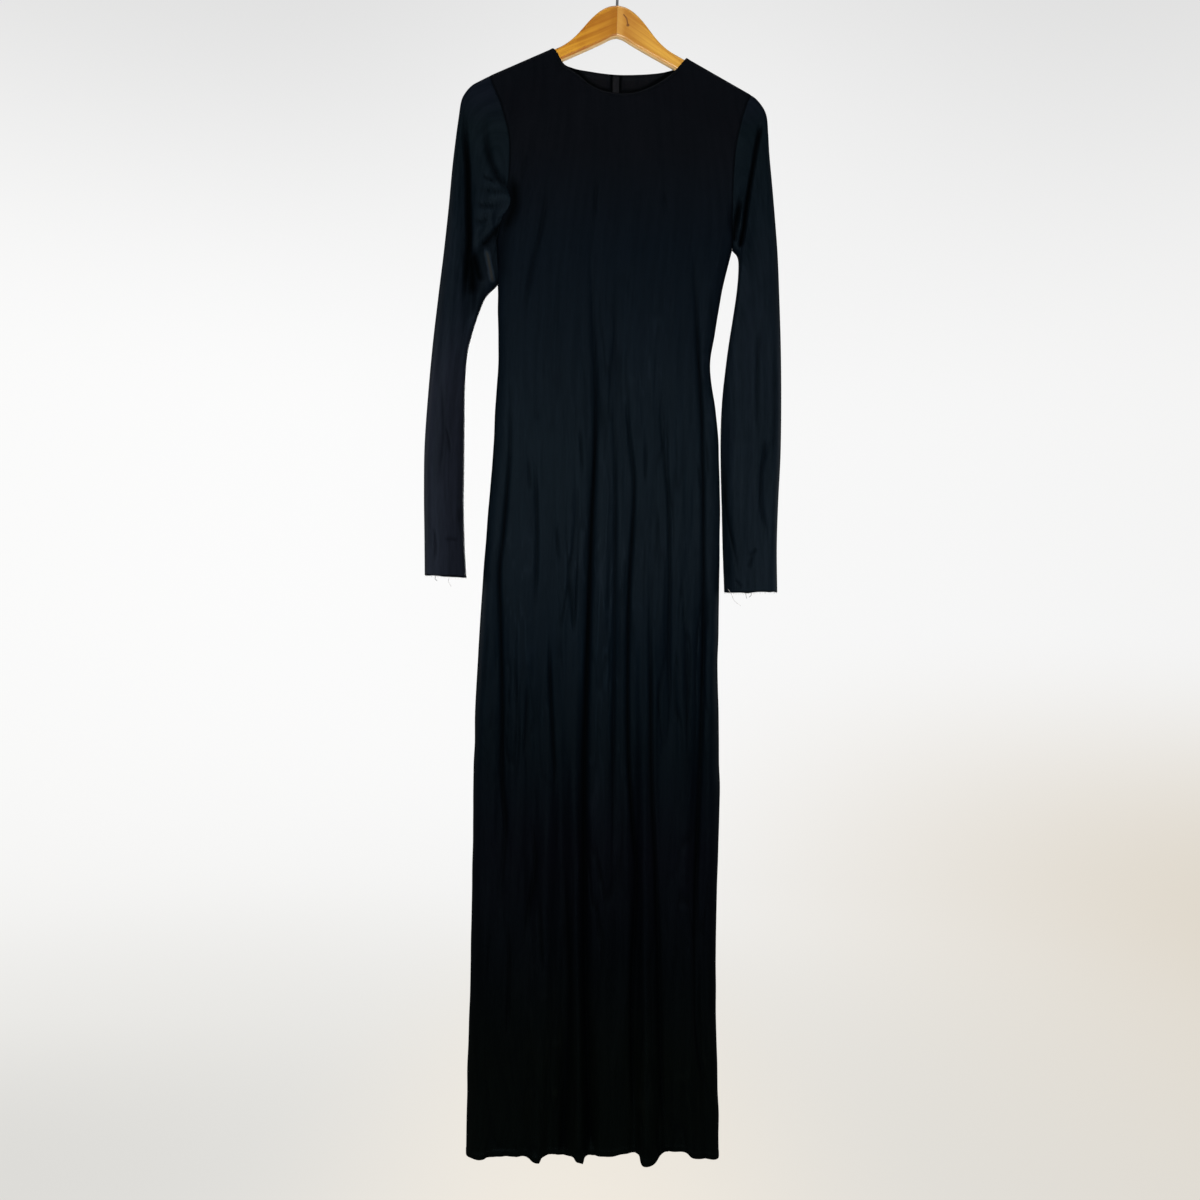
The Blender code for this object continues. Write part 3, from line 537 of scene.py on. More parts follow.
hemLine = {
    "x": [-163, -154, -141, -130, -112, -94, -85, -80, -74, -69, -65.5, -63, -58, -49, -36, -27, -19.5, -17,
          -11, -7, -5, 9, 36, 47, 71, 73.5, 75.5, 79, 89, 94, 100, 111, 122, 131, 136, 141, 150, 161, 172,
          179],
    "front": [-1616, -1615.5, -1615.5, -1612.5, -1611, -1611.5, -1609, -1610, -1614, -1615.5, -1615.5,
              -1610, -1608.5, -1607, -1608.5, -1609, -1608, -1612, -1614, -1615.5, -1609, -1609, -1607.5,
              -1604.5, -1603, -1604.5, -1611.5, -1615, -1615, -1612.5, -1605, -1601, -1598.5, -1597.5,
              -1600, -1604, -1607, -1608.5, -1610, -1611],
    "backX": [-163, -146, -122, -98, -93, -74, -44, -34, -29, -14, 16, 50, 62, 67, 84, 105, 128, 146, 163,
              179],
    "back": [-1616, -1615, -1612, -1615, -1611, -1613, -1609, -1614, -1609, -1608.5, -1611, -1610, -1613.5,
             -1609, -1608.5, -1610, -1607, -1605, -1608, -1611],
}
armholes = {
    "right": {
        "z": [-157.5, -175.0, -190.0, -209.0, -230.0, -251.0, -297.0, -345.0, -386.0],
        "x": [-169.5, -162.5, -155.5, -149.0, -143.0, -139.5, -140.0, -146.0, -154.5],
    },
    "left": {
        "z": [-174.3, -190.5, -222.0, -252.0, -283.0, -330.0, -384.0],
        "x": [184.5, 178.0, 170.0, 165.2, 163.3, 163.0, 164.5],
    },
}
body = {
    "z": [-384, -440, -500, -545, -600, -650, -740, -850, -950, -1020, -1135, -1250, -1400, -1510, -1620],
    "right": [-154.5, -152.0, -148.5, -148.0, -149.8, -151.2, -155.5, -161.0, -165.0, -167.0, -166.0,
              -165.0, -163.5, -164.0, -163.0],
    "left": [164.5, 152.5, 143.5, 139.3, 147.0, 153.3, 157.0, 159.0, 160.0, 163.0, 167.0, 166.5, 169.0,
             174.0, 179.0],
    "front": [12.5, 12.5, 12.5, 12.5, 12.5, 13.0, 13.5, 14.0, 14.5, 15.0, 15.5, 16.0, 16.5, 17.0, 17.5],
    "back": [10.5, 10.5, 10.5, 10.5, 11.0, 11.5, 12.0, 12.5, 13.0, 13.5, 14.0, 14.5, 15.0, 15.5, 16.0],
}
foldHeights = [-1612, -1200, -850, -560, -350]  # where the folds' places below are given, hem to chest
foldColumns = ["hem", "knee", "hip", "waist", "chest", "start", "end", "depth", "width", "lean"]
frontFolds = [
    (-150, -124, -139, -133, -151, -340, -1420, -3.6, 17, 0.0),
    (-96, -85, -89, -97, -100, -600, -1400, -2.6, 15, 0.0),
    (-30, -44, -71, -76, -80, -820, -1612, -4.2, 17, 0.0),
    (6, -15, -17, -15, -27, -250, -1612, -5.0, 15, 0.0),
    (21, 26, 16, 8, 3, -450, -1350, -3.2, 13, 0.0),
    (64, 55, 38, 29, 26, -470, -1612, -4.6, 14, 0.0),
    (112, 103, 91, 75, 70, -480, -1180, -3.2, 15, 0.0),
    (108, 84, 70, 64, 60, -980, -1612, -4.2, 15, 0.0),
    (166, 139, 138, 127, 108, -360, -1612, -4.4, 17, 0.0),
    (-146, -146, -148, -150, -155, -1250, -1612, 4.0, 18, 0.0),
    (-71, -64, -66, -68, -70, -1050, -1612, 8.5, 21, 0.35),
    (-14, -28, -38, -40, -44, -900, -1612, 9.5, 18, 0.35),
    (83, 71, 58, 58, 58, -900, -1612, 10.5, 21, -0.35),
    (140, 120, 114, 112, 110, -1150, -1612, 5.0, 20, 0.0),
]
backFolds = [
    (-128, -136, -130, -126, -132, -380, -1612, -3.8, 18, 0.0),
    (-102, -108, -96, -84, -92, -520, -1612, 6.0, 20, 0.25),
    (-64, -72, -61, -50, -52, -330, -1612, -4.4, 17, 0.0),
    (-37, -30, -22, -16, -20, -760, -1612, 7.5, 20, 0.3),
    (-4, 4, 2, 6, 14, -300, -1612, -4.6, 16, 0.0),
    (30, 38, 46, 40, 44, -640, -1400, -3.0, 15, 0.0),
    (66, 58, 62, 66, 70, -880, -1612, 8.0, 21, -0.3),
    (100, 94, 98, 92, 96, -420, -1612, -4.2, 18, 0.0),
    (146, 136, 134, 124, 128, -700, -1612, 4.5, 20, 0.0),
]
frontCreases = [  # paths are x and z down the panel; valleys are negative
    crease(-3.6, 7, (-133, -520), (-128, -645), (-134, -776), (-138, -825), (-135, -890), (-129, -1020),
           (-127, -1107), (-121, -1176), (-128, -1286), (-133, -1337), dark=0.9),
    crease(-2.5, 6, (-117, -1292), (-111, -1347), (-111, -1467)),
    crease(-2.1, 6, (-95, -667), (-91, -726), (-88, -791), (-89, -889)),
    crease(-1.7, 5, (-104, -671), (-98, -720)),
    crease(-2.1, 6, (-95, -970), (-98, -1084)),
    crease(-2.7, 6, (-87, -1151), (-80, -1219), (-87, -1285), (-91, -1333)),
    crease(-2.5, 6, (-75, -1257), (-71, -1312), (-67, -1373)),
    crease(-1.9, 5, (-64, -758), (-58, -816)),
    crease(-2.8, 6, (-69, -904), (-67, -953), (-60, -1051), (-56, -1106), (-58, -1140), dark=0.8),
    crease(-4.5, 7, (-42, -1208), (-37, -1276), (-31, -1400), (-33, -1606), widen=0.8, sharp=1.4,
           fadeOut=0.02),
    crease(2.0, 9, (-40, -1076), (-30, -1139), (-23, -1297), (-18, -1413), (-12, -1605), fadeOut=0.02),
    crease(-6.5, 6, (-29, -364), (-21, -484), (-14, -620), (-16, -773), (-17, -985), (-17, -1104),
           (-13, -1242), (-9, -1379), (-5, -1447), (1, -1550), (6, -1605), widen=0.6, sharp=1.3,
           fadeOut=0.02, dark=1.0, tight=1.5),
    crease(-2.3, 6, (6, -533), (14, -691), (18, -853), (20, -984), (24, -1172), (25, -1275)),
    crease(-4.6, 6.5, (26, -499), (30, -619), (40, -706), (37, -853), (41, -1048), (51, -1171), (57, -1223),
           (55, -1394), (63, -1582), sharp=1.5, fadeOut=0.1),
    crease(-5.0, 6.5, (62, -787), (66, -885), (70, -982), (75, -1102), (82, -1205), (90, -1342),
           (98, -1513), (105, -1581), sharp=1.5, fadeOut=0.1),
    crease(2.0, 10, (59, -983), (63, -1102), (69, -1205), (76, -1394), (86, -1602), fadeOut=0.02),
    crease(-2.3, 6, (76, -531), (74, -618), (86, -721), (91, -835), (93, -965), (98, -1053)),
    crease(-1.7, 10, (110, -884), (116, -916), (120, -1030), (123, -1079), sharp=2.0),
    crease(-4.0, 7, (109, -367), (116, -448), (122, -530), (129, -617), (134, -736), (138, -883),
           (139, -1013), (137, -1238), (139, -1392), (142, -1443), (150, -1488), (165, -1539), (173, -1562),
           fadeIn=0.15, fadeOut=0.1),
    crease(-1.7, 5, (125, -671), (132, -720)),
    crease(-1.5, 5, (137, -444), (139, -500)),
    crease(-1.5, 5, (134, -632), (141, -700)),
    crease(-1.7, 5, (-149, -884), (-154, -956), (-154, -1004)),
    crease(-2.1, 6, (154, -1306), (159, -1374), (169, -1484)),
    crease(-1.5, 5, (55, -641), (55, -706)),
    crease(-1.3, 5, (26, -593), (33, -650), (40, -706)),
    crease(-1.5, 5, (-35, -627), (-29, -698)),
    crease(-4.0, 12, (-139, -284), (-133, -305), (-131, -324), (-133, -342), (-140, -358), (-151, -384),
           sharp=1.2, fadeIn=0.3, fadeOut=0.3, dark=1.0, tight=0.8),
    crease(-1.2, 15, (-140, -340), (-146, -395), (-144, -450), dark=0.5, tight=0.9),
    crease(-1.0, 7, (-117, -252), (-125, -315)),
    crease(1.2, 10, (-103, -236), (-112, -308), (-126, -406)),
    crease(-1.9, 8, (-85, -294), (-94, -366), (-103, -405), (-116, -487)),
    crease(-1.1, 6, (-21, -292), (-23, -354)),
    crease(-1.1, 6, (70, -309), (74, -332)),
]
backCreases = [
    crease(-3.0, 7, (-128, -470), (-122, -600), (-127, -760), (-133, -900), (-131, -1080), (-124, -1240),
           (-120, -1400)),
    crease(-2.0, 6, (-99, -640), (-94, -745), (-97, -870)),
    crease(-2.8, 6, (-82, -930), (-86, -1060), (-80, -1180), (-76, -1330)),
    crease(-3.6, 7, (-50, -330), (-47, -470), (-52, -640), (-60, -850), (-70, -1080), (-72, -1320),
           (-66, -1600), fadeOut=0.05),
    crease(-1.8, 6, (-36, -700), (-30, -810), (-34, -930)),
    crease(1.8, 9, (-46, -1190), (-43, -1330), (-49, -1500)),
    crease(-1.8, 6, (-12, -520), (-8, -640), (-13, -790)),
    crease(-3.8, 7, (13, -310), (8, -470), (5, -650), (3, -860), (6, -1090), (2, -1300), (-3, -1600),
           fadeOut=0.05),
    crease(-2.0, 6, (28, -930), (33, -1060), (29, -1210)),
    crease(-2.6, 6, (41, -560), (39, -700), (47, -860), (43, -1030), (36, -1240), (33, -1380)),
    crease(-1.6, 5, (64, -610), (60, -720)),
    crease(-3.0, 7, (82, -860), (78, -1010), (83, -1190), (88, -1420)),
    crease(-4.6, 6.5, (97, -420), (92, -560), (98, -760), (99, -960), (94, -1180), (101, -1420),
           (104, -1590), sharp=1.5, fadeOut=0.1),
    crease(-1.8, 6, (117, -680), (121, -800), (118, -930)),
    crease(-2.4, 7, (128, -1120), (134, -1260), (139, -1430)),
    crease(-1.8, 6, (-140, -990), (-146, -1120), (-143, -1260)),
    crease(1.2, 10, (-108, -250), (-114, -330), (-124, -420)),
    crease(-1.8, 8, (112, -262), (118, -350), (127, -440)),
    crease(0.9, 11, (-60, -180), (-92, -196), (-128, -215)),
    crease(0.9, 11, (58, -186), (88, -204), (120, -228)),
]
pinches = {  # where the front is drawn in beside an armhole seam: height, half length, depth, reach
    "right": (-328.0, 34.0, 7.5, 15.0),
    "left": (-346.0, 30.0, 5.5, 8.0),
}
panels = {
    "front": {"folds": frontFolds, "creases": frontCreases, "seed": 11},
    "back": {"folds": backFolds, "creases": backCreases, "seed": 29},
}
fineRelief = [  # size across, size along, height at the chest and below the waist
    (5.5, 50.0, 0.05, 0.60),
    (17.0, 150.0, 0.08, 1.80),
]
crinkles = {  # thin branching troughs and ridges between the placed creases, with painted shade in the troughs and painted highlight on the ridges
    "across": 9.0,
    "along": 74.0,
    "width": 0.15,
    "depth": 2.4,
    "dark": 0.5,
    "start": (330.0, 640.0),  # they come in between these depths below the hook
    "patch": (42.0, 170.0),
    "patchShare": 0.35,
    "ridges": (7.0, 48.0),
    "ridgePatch": (36.0, 120.0),
    "ridgePatchShare": 0.1,
    "ridgeWidth": 0.13,
    "ridgeHeight": 0.55,
    "ridgeLight": 0.45,
}


shoulderWidth = dress["shoulderLeft"][0] - dress["shoulderRight"][0]


def shoulderX(across):
    return dress["shoulderRight"][0] + shoulderWidth * across


def woodTop(x):
    # the line that the cloth follows over the arms, carried on inwards
    def side(neck, end):
        return neck[1] + (end[1] - neck[1]) * (x - neck[0]) / (end[0] - neck[0])

    right = side(dress["neckRight"], dress["shoulderRight"])
    left = side(dress["neckLeft"], dress["shoulderLeft"])
    return np.where(x < dress["crownX"], right, left)


def topEdge(x, face):
    inNeck = (x >= dress["neckRight"][0]) & (x <= dress["neckLeft"][0])
    return np.where(inNeck, tableCurve(neckline, "x", face, x), woodTop(x))


def foldRelief(folds, x, z):
    relief, shift = np.zeros_like(x), np.zeros_like(x)
    for values in folds:
        fold = dict(zip(foldColumns, values))
        centre = throughKnots(foldHeights, [fold[name] for name in foldColumns[:5]], z)
        across = np.abs(x - centre) / fold["width"]
        along = (fold["start"] - z) / (fold["start"] - fold["end"])
        height = fold["depth"] * np.clip(along, 0.0, 1.0) ** 0.8
        if fold["end"] > foldHeights[0]:
            height = height * (1 - softStep(along, 0.75, 1.0))
        height = height * bell(np.minimum(across, 1.0))
        relief += height
        shift += fold["lean"] * height
    return relief, shift


def edgeClosing(z, underarm):
    rise = np.clip((z - underarm) / dress["underarmRoll"], 0.0, 1.0)
    return np.where(z <= underarm, 1.0, 1.0 - quarterRound(rise))


def edgeProfile(inside, closing):
    part = np.clip(inside / dress["sideRoll"], 0.0, 1.0)
    return 1.0 - closing * (1.0 - quarterRound(part))


def sideEdge(side, down):
    # x and z of a panel's side: down the armhole to the underarm, then down the side fold to the hem
    name = side.capitalize()
    upper, lower = np.clip(down, 0.0, 1.0), np.clip(down - 1.0, 0.0, 1.0)
    shoulder, underarm, hem = dress["shoulder" + name][1], dress["underarm" + name], dress["hem" + name]
    z = np.where(down <= 1.0, shoulder + (underarm - shoulder) * upper, underarm + (hem - underarm) * lower)
    x = np.where(down <= 1.0, tableCurve(armholes[side], "z", "x", z), tableCurve(body, "z", side, z))
    wave = streaks(lower * 0, z, *dress["sideWaveSize"], dress["sideSeeds"][side])
    return x + dress["sideWave"] * np.where(down <= 1.0, 0.0, softStep(lower, 0.0, 0.06) * wave), z


def crinkled(x, z, drop, seed):
    # thin troughs and ridges, each in patches
    line = np.abs(streaks(x, z, crinkles["across"], crinkles["along"], seed + 5)) / crinkles["width"]
    patch = np.clip(crinkles["patchShare"] + streaks(x, z, *crinkles["patch"], seed + 6), 0.0, 1.0)
    troughs = drop * patch * np.clip(1 - line, 0.0, 1.0)
    line = np.abs(streaks(x, z, *crinkles["ridges"], seed + 7)) / crinkles["ridgeWidth"]
    patch = crinkles["ridgePatchShare"] + 1.2 * streaks(x, z, *crinkles["ridgePatch"], seed + 8)
    return troughs, drop * np.clip(patch, 0.0, 1.0) * np.clip(1 - line, 0.0, 1.0)


def panelFine(face, x, z, below, fromEdge, rim):
    # the placed creases, the fine relief between them, and the painted shade and highlight of both
    relief, paintedShading = creaseRelief(panels[face]["creases"], x, z)
    seed = panels[face]["seed"]
    drop = softStep(-z, *crinkles["start"])
    calm = softStep(below, *dress["calm"])
    for i, (wide, long, chest, lower) in enumerate(fineRelief):
        height = chest + (lower - chest) * drop
        relief = relief + calm * height * streaks(x, z, wide, long, seed + i)
    troughs, ridges = crinkled(x, z, drop, seed)
    relief = relief - crinkles["depth"] * troughs**1.6 + crinkles["ridgeHeight"] * ridges
    paintedShading = np.where(paintedShading > 0.08, paintedShading, paintedShading - crinkles["ridgeLight"] * ridges)
    paintedShading = darkened(paintedShading, crinkles["dark"] * troughs)
    # painted shade along the panel's edges and its neck rim
    paintedShading = darkened(paintedShading, dress["sewnEdgeShade"] * (1 - softStep(fromEdge, *dress["edgeReach"])))
    return relief, darkened(paintedShading, dress["neckRimShade"] * rim)


def panelAt(face, across, down, plain=False):
    # a point of a panel: across is 0 to 1, down is 0 at the top, 1 at the underarm and 2 at the hem
    upper, lower = np.clip(down, 0.0, 1.0), np.clip(down - 1.0, 0.0, 1.0)
    underR, underL = dress["underarmRight"], dress["underarmLeft"]
    (rightX, rightZ), (leftX, leftZ) = sideEdge("right", down), sideEdge("left", down)
    start = topEdge(shoulderX(across), face)
    underarm = underR + (underL - underR) * across
    hemX = hemLine["x"][0] + (hemLine["x"][-1] - hemLine["x"][0]) * across
    hem = tableCurve(hemLine, "x" if face == "front" else "backX", face, hemX)
    z = np.where(down <= 1.0, start + (underarm - start) * upper, underarm + (hem - underarm) * lower)
    x = rightX + (leftX - rightX) * across
    fromRight, fromLeft = x - rightX, leftX - x
    fromEdge = np.minimum(fromRight, fromLeft)

    roll, square = dress["rollRadius"], dress["rollSquareness"]
    below = woodTop(x) - z
    full = softStep(below, dress["hugEnd"], dress["fullStart"])
    depth = roll + (tableCurve(body, "z", face, z) - roll) * full
    depth = depth * (1.0 - np.clip(1.0 - below / roll, 0.0, 1.0) ** square) ** (1.0 / square)
    closeRight, closeLeft = edgeClosing(rightZ, underR), edgeClosing(leftZ, underL)
    depth = depth * edgeProfile(fromRight, closeRight) * edgeProfile(fromLeft, closeLeft)
    if face == "front":
        for side, inside in (("right", fromRight), ("left", fromLeft)):
            height, half, drawn, reach = pinches[side]
            swell = bell(np.clip(np.abs(z - height) / half, 0.0, 1.0))
            depth = depth - drawn * swell * (1 - softStep(inside, 0.0, reach))

    # the neck edge is turned in and its stitches press a groove
    slope = topEdge(x + 0.5, face) - topEdge(x - 0.5, face)
    fromNeck = (topEdge(x, face) - z) / np.sqrt(1 + slope**2)
    neckFrom, neckTo, blend = dress["neckRight"][0], dress["neckLeft"][0], dress["neckBlend"]
    inNeck = softStep(x, neckFrom, neckFrom + blend) * softStep(-x, -neckTo, blend - neckTo)
    fromStitches = np.abs(fromNeck - dress["stitchedAt"])
    pressed = dress["neckGroove"] * np.clip(1 - fromStitches / dress["grooveHalf"], 0.0, 1.0)
    curled = dress["neckRoll"] * (1 - softStep(fromNeck, 0.0, dress["neckRollReach"]))
    depth = depth - inNeck * (curled + pressed)

    relief, shift = foldRelief(panels[face]["folds"], x, z)
    fading = softStep(fromEdge, *dress["foldFade"])
    paintedShading = np.zeros_like(x)
    if not plain:
        # painted shade in the stitch groove and along the neck rim
        sewn = dress["stitchGrooveShade"] * np.clip(1 - fromStitches / dress["sewnHalf"], 0.0, 1.0)
        rim = np.maximum(1 - softStep(fromNeck, *dress["neckRimShadeReach"]), sewn)
        placed, paintedShading = panelFine(face, x, z, below, fromEdge, inNeck * rim)
        relief = relief + placed
    depth = np.maximum(depth + relief * fading, dress["seamGap"])
    x = x + shift * fading

    # sewn edges pull in: side seams and shoulder seams, then the armholes
    pull = dress["seamDip"] * (1 - softStep(depth, *dress["seamPull"]))
    x = x + pull * np.where(fromRight < fromLeft, closeRight, -closeLeft) * (fromEdge < dress["sideRoll"])
    z = z - pull * (below < roll) * (fromEdge > 0.5)
    hole = np.where(fromRight < fromLeft, 1 - closeRight, 1 - closeLeft)
    dip = dress["seamDip"] * hole * (1 - softStep(fromEdge, 0.0, dress["holePull"]))
    depth = np.maximum(depth - dip, dress["seamGap"])
    return np.stack([x, -depth if face == "front" else depth, z], axis=-1), paintedShading


def panelNormal(face, across, down):
    point = panelAt(face, across, down)[0]
    beside = panelAt(face, across + 0.004, down)[0] - panelAt(face, across - 0.004, down)[0]
    under = panelAt(face, across, down + 0.002)[0] - panelAt(face, across, down - 0.002)[0]
    normal = np.cross(under, beside) if face == "front" else np.cross(beside, under)
    return point, normal / np.linalg.norm(normal, axis=-1)[..., None]


def panelColumns():
    # places across a panel, closer where it rounds its side folds and its neck
    width = shoulderWidth
    neckFrom = dress["neckRight"][0] - dress["shoulderRight"][0]
    neckTo = dress["neckLeft"][0] - dress["shoulderRight"][0]
    edge = np.array([0.0, 0.15, 0.5, 1.0, 1.7, 2.6, 3.7, 5.0, 6.6, 8.5, 10.7, 13.2, 16.0])
    corner = np.array([0.0, 0.7, 1.5, 2.5, 3.7, 5.1, 6.7, 8.6, 10.6, 12.8, 15.2])
    first = np.linspace(edge[-1], neckFrom, 40)[1:-1]
    middle = np.linspace(neckFrom + corner[-1], neckTo - corner[-1], 102)[1:-1]
    last = np.linspace(neckTo, width - edge[-1], 42)[1:-1]
    neck = [neckFrom + corner, middle, neckTo - corner[::-1]]
    return np.concatenate([edge, first, *neck, last, width - edge[::-1]]) / width


def panelDowns(face, across):
    # rows down a panel for each column: close at the top edge and at the hem
    underR, underL = dress["underarmRight"], dress["underarmLeft"]
    height = topEdge(shoulderX(across), face) - (underR + (underL - underR) * across)
    close = np.array([0.0, 0.4, 1.0, 1.9, 3.0, 4.3, 5.8, 7.6, 9.8, 12.6, 16.2, 20.6])
    first = close[:, None] / height[None, :]
    rest = np.linspace(0.0, 1.0, 32)[1:, None]
    upper = np.concatenate([first, first[-1] + (1 - first[-1]) * rest])
    long = -dress["hemRight"] + dress["underarmRight"]
    hemRows = np.array([22.0, 17.5, 13.5, 10.5, 9.2, 8.0, 6.0, 4.0, 2.4, 1.2, 0.5, 0.0])
    lower = np.concatenate([np.linspace(0.0, 1 - 26.0 / long, 146)[1:], 1 - hemRows / long])
    return np.concatenate([upper, 1 + np.broadcast_to(lower[:, None], (len(lower), len(across)))])


def arcAcross(points, closed=False):
    # distance along each row, from its middle or its first column
    if closed:
        points = np.concatenate([points, points[:, :1]], axis=1)
    steps = np.linalg.norm(np.diff(points, axis=1), axis=-1)
    reached = np.concatenate([np.zeros((len(points), 1)), np.cumsum(steps, axis=1)], axis=1)
    return reached if closed else reached - reached[:, [reached.shape[1] // 2]]


def makePanel(name, face, node):
    across = panelColumns()
    downs = panelDowns(face, across)
    points, paintedShading = panelAt(face, np.broadcast_to(across, downs.shape).copy(), downs)
    x, z = points[..., 0], points[..., 2]
    # painted shadow on the inside of the back, beside the tape and behind the front's neck edge
    tapeShade, neckShade = dress["tapeShade"], dress["neckShade"]
    beside = np.abs(np.abs(x - tapeShade["x"]) - tapeShade["apart"])
    inner = tapeShade["dark"] * (1 - softStep(beside, 0.8, 2.8)) * (z > tapeShade["low"])
    fromFront = z - topEdge(x, "front") - neckShade["above"]
    close = neckShade["dark"] * (1 - softStep(fromFront, neckShade["soft"], neckShade["reach"]))
    inner = np.maximum(inner, close) * (face == "back")
    shades = {"paintedShading": paintedShading, "inner": inner}
    obj = clothMesh(name, points, False, face == "back", arcAcross(points), z, shades)
    topX = shoulderX(across)
    slope = np.gradient(topEdge(topX, face), topX)
    inNeck = (topX > dress["neckRight"][0] - 3) & (topX < dress["neckLeft"][0] + 3)
    fromTop = (z[0] - z) / np.sqrt(1 + slope**2)
    band = (1 - softStep(fromTop, dress["neckBand"] - 0.8, dress["neckBand"] + 0.6)) * inNeck
    thin = dress["turnedShare"]
    band *= thin + (1 - thin) * softStep(fromTop, 0.0, 0.9)
    fromHem = z - z[-1]
    hemBand = 1 - softStep(fromHem, dress["hemBand"] - 0.9, dress["hemBand"] + 0.9)
    hemBand *= thin + (1 - thin) * softStep(fromHem, 0.0, 1.0)
    giveClothWall(obj, np.maximum(band, hemBand), jerseyOutside, jerseyInside)
    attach(obj, "root")
    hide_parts(node)
    return obj


frontPanel = makePanel("frontPanel", "front", "front")
backPanel = makePanel("backPanel", "back", "back")
print("panels made")


sleeveShape = {
    "gap": -0.25,  # the sleeve's seam edge lies just inside the panel's
    "underarmGap": 1.3,
    "underarmGapStart": 0.7,
    "gapDrop": 0.45,
    "rollGrowth": 18.0,
    "innerRoll": 26.0,
    "backFolds": 0.35,
    "settled": 8.0,
    # where the right sleeve's front laps over its seam: height, half its length, how far over, how far out
    "lap": (-331.0, 34.0, 12.0, 3.0),
    # the fine relief: shift across and down, size across and down, seed, height
    "fine": [(37.0, 0.0, 8.0, 70.0, 53, 0.22), (0.0, 40.0, 19.0, 130.0, 71, 0.35)],
    "cuffCurl": 0.7,
    "cuffWave": (26.0, 22.0, 17),  # size and seed of the raw edge's unevenness
    "cuffEdgeShade": 0.6,
    "edgeShade": 0.3,  # painted shade along its two side folds
    "startThickness": 11.8,
    "rows": 262,
    "around": 76,  # points down the front, and as many up the back
}
holeShares = [0.0, 0.005, 0.017, 0.034, 0.075, 0.13, 0.2, 0.285, 0.385, 0.5, 0.62, 0.74, 0.86, 0.94, 1.0]
ringColumns = ["outerX", "outerZ", "innerX", "innerZ", "thickness", "turn"]
sleeveRings = {
    "right": [
        (-181.0, -163.8, -156.4, -391.0, 11.8, 0),
        (-193.0, -170.9, -155.8, -395.5, 11.9, 0),
        (-202.0, -181.4, -155.0, -402.0, 12.0, 1),
        (-207.0, -193.0, -152.6, -410.5, 12.3, 2),
        (-209.8, -215.0, -150.6, -422.5, 12.8, 4),
        (-212.7, -243.0, -151.2, -437.0, 13.3, 7),
        (-216.4, -285.0, -166.6, -454.0, 14.0, 12),
        (-219.3, -335.0, -175.6, -474.0, 15.0, 20),
        (-224.0, -395.0, -184.8, -504.0, 16.0, 28),
        (-229.8, -455.0, -191.6, -538.0, 16.5, 34),
        (-235.4, -520.0, -193.8, -582.0, 17.0, 38),
        (-239.6, -590.0, -193.0, -632.0, 17.0, 40),
        (-242.2, -660.0, -192.2, -686.0, 17.0, 42),
        (-241.4, -725.0, -191.4, -738.0, 17.0, 43),
        (-239.2, -780.0, -189.2, -787.0, 16.5, 44),
        (-237.0, -834.5, -185.8, -836.0, 16.0, 45),
    ],
    "left": [
        (190.5, -178.3, 168.2, -387.6, 11.8, 0),
        (198.0, -186.3, 170.8, -390.2, 11.9, 0),
        (203.8, -195.4, 172.7, -394.0, 12.0, 1),
        (207.0, -206.0, 174.0, -399.6, 12.3, 2),
        (209.0, -226.0, 174.4, -411.0, 12.7, 4),
        (211.4, -255.0, 173.8, -428.0, 13.0, 6),
        (215.6, -292.0, 172.0, -450.0, 13.5, 9),
        (220.4, -338.0, 168.8, -478.0, 14.0, 12),
        (225.2, -390.0, 165.0, -508.0, 14.0, 15),
        (228.8, -450.0, 161.4, -542.0, 14.0, 17),
        (232.4, -520.0, 158.0, -586.0, 14.0, 18),
        (234.6, -590.0, 157.2, -632.0, 14.0, 19),
        (235.4, -660.0, 158.8, -684.0, 14.0, 20),
        (234.0, -725.0, 161.4, -736.0, 13.5, 20),
        (233.8, -785.0, 164.0, -790.0, 13.0, 20),
        (236.0, -845.0, 167.6, -847.5, 13.0, 20),
    ],
}
sleeveFolds = {  # three points down the front, then depth and half width
    "right": [
        ((-204, -198), (-192, -365), (-190, -500), -5.0, 13),
        ((-179, -197), (-166, -257), (-148, -320), -3.0, 14),
        ((-144, -343), (-180, -392), (-190, -510), -3.0, 12),
        ((-206, -520), (-210, -680), (-208, -836), 0.8, 15),
    ],
    "left": [
        ((203, -205), (190, -285), (176, -400), -4.6, 14),
        ((205, -470), (212, -650), (216, -845), -3.0, 14),
        ((176, -600), (172, -700), (178, -845), 2.4, 13),
    ],
}
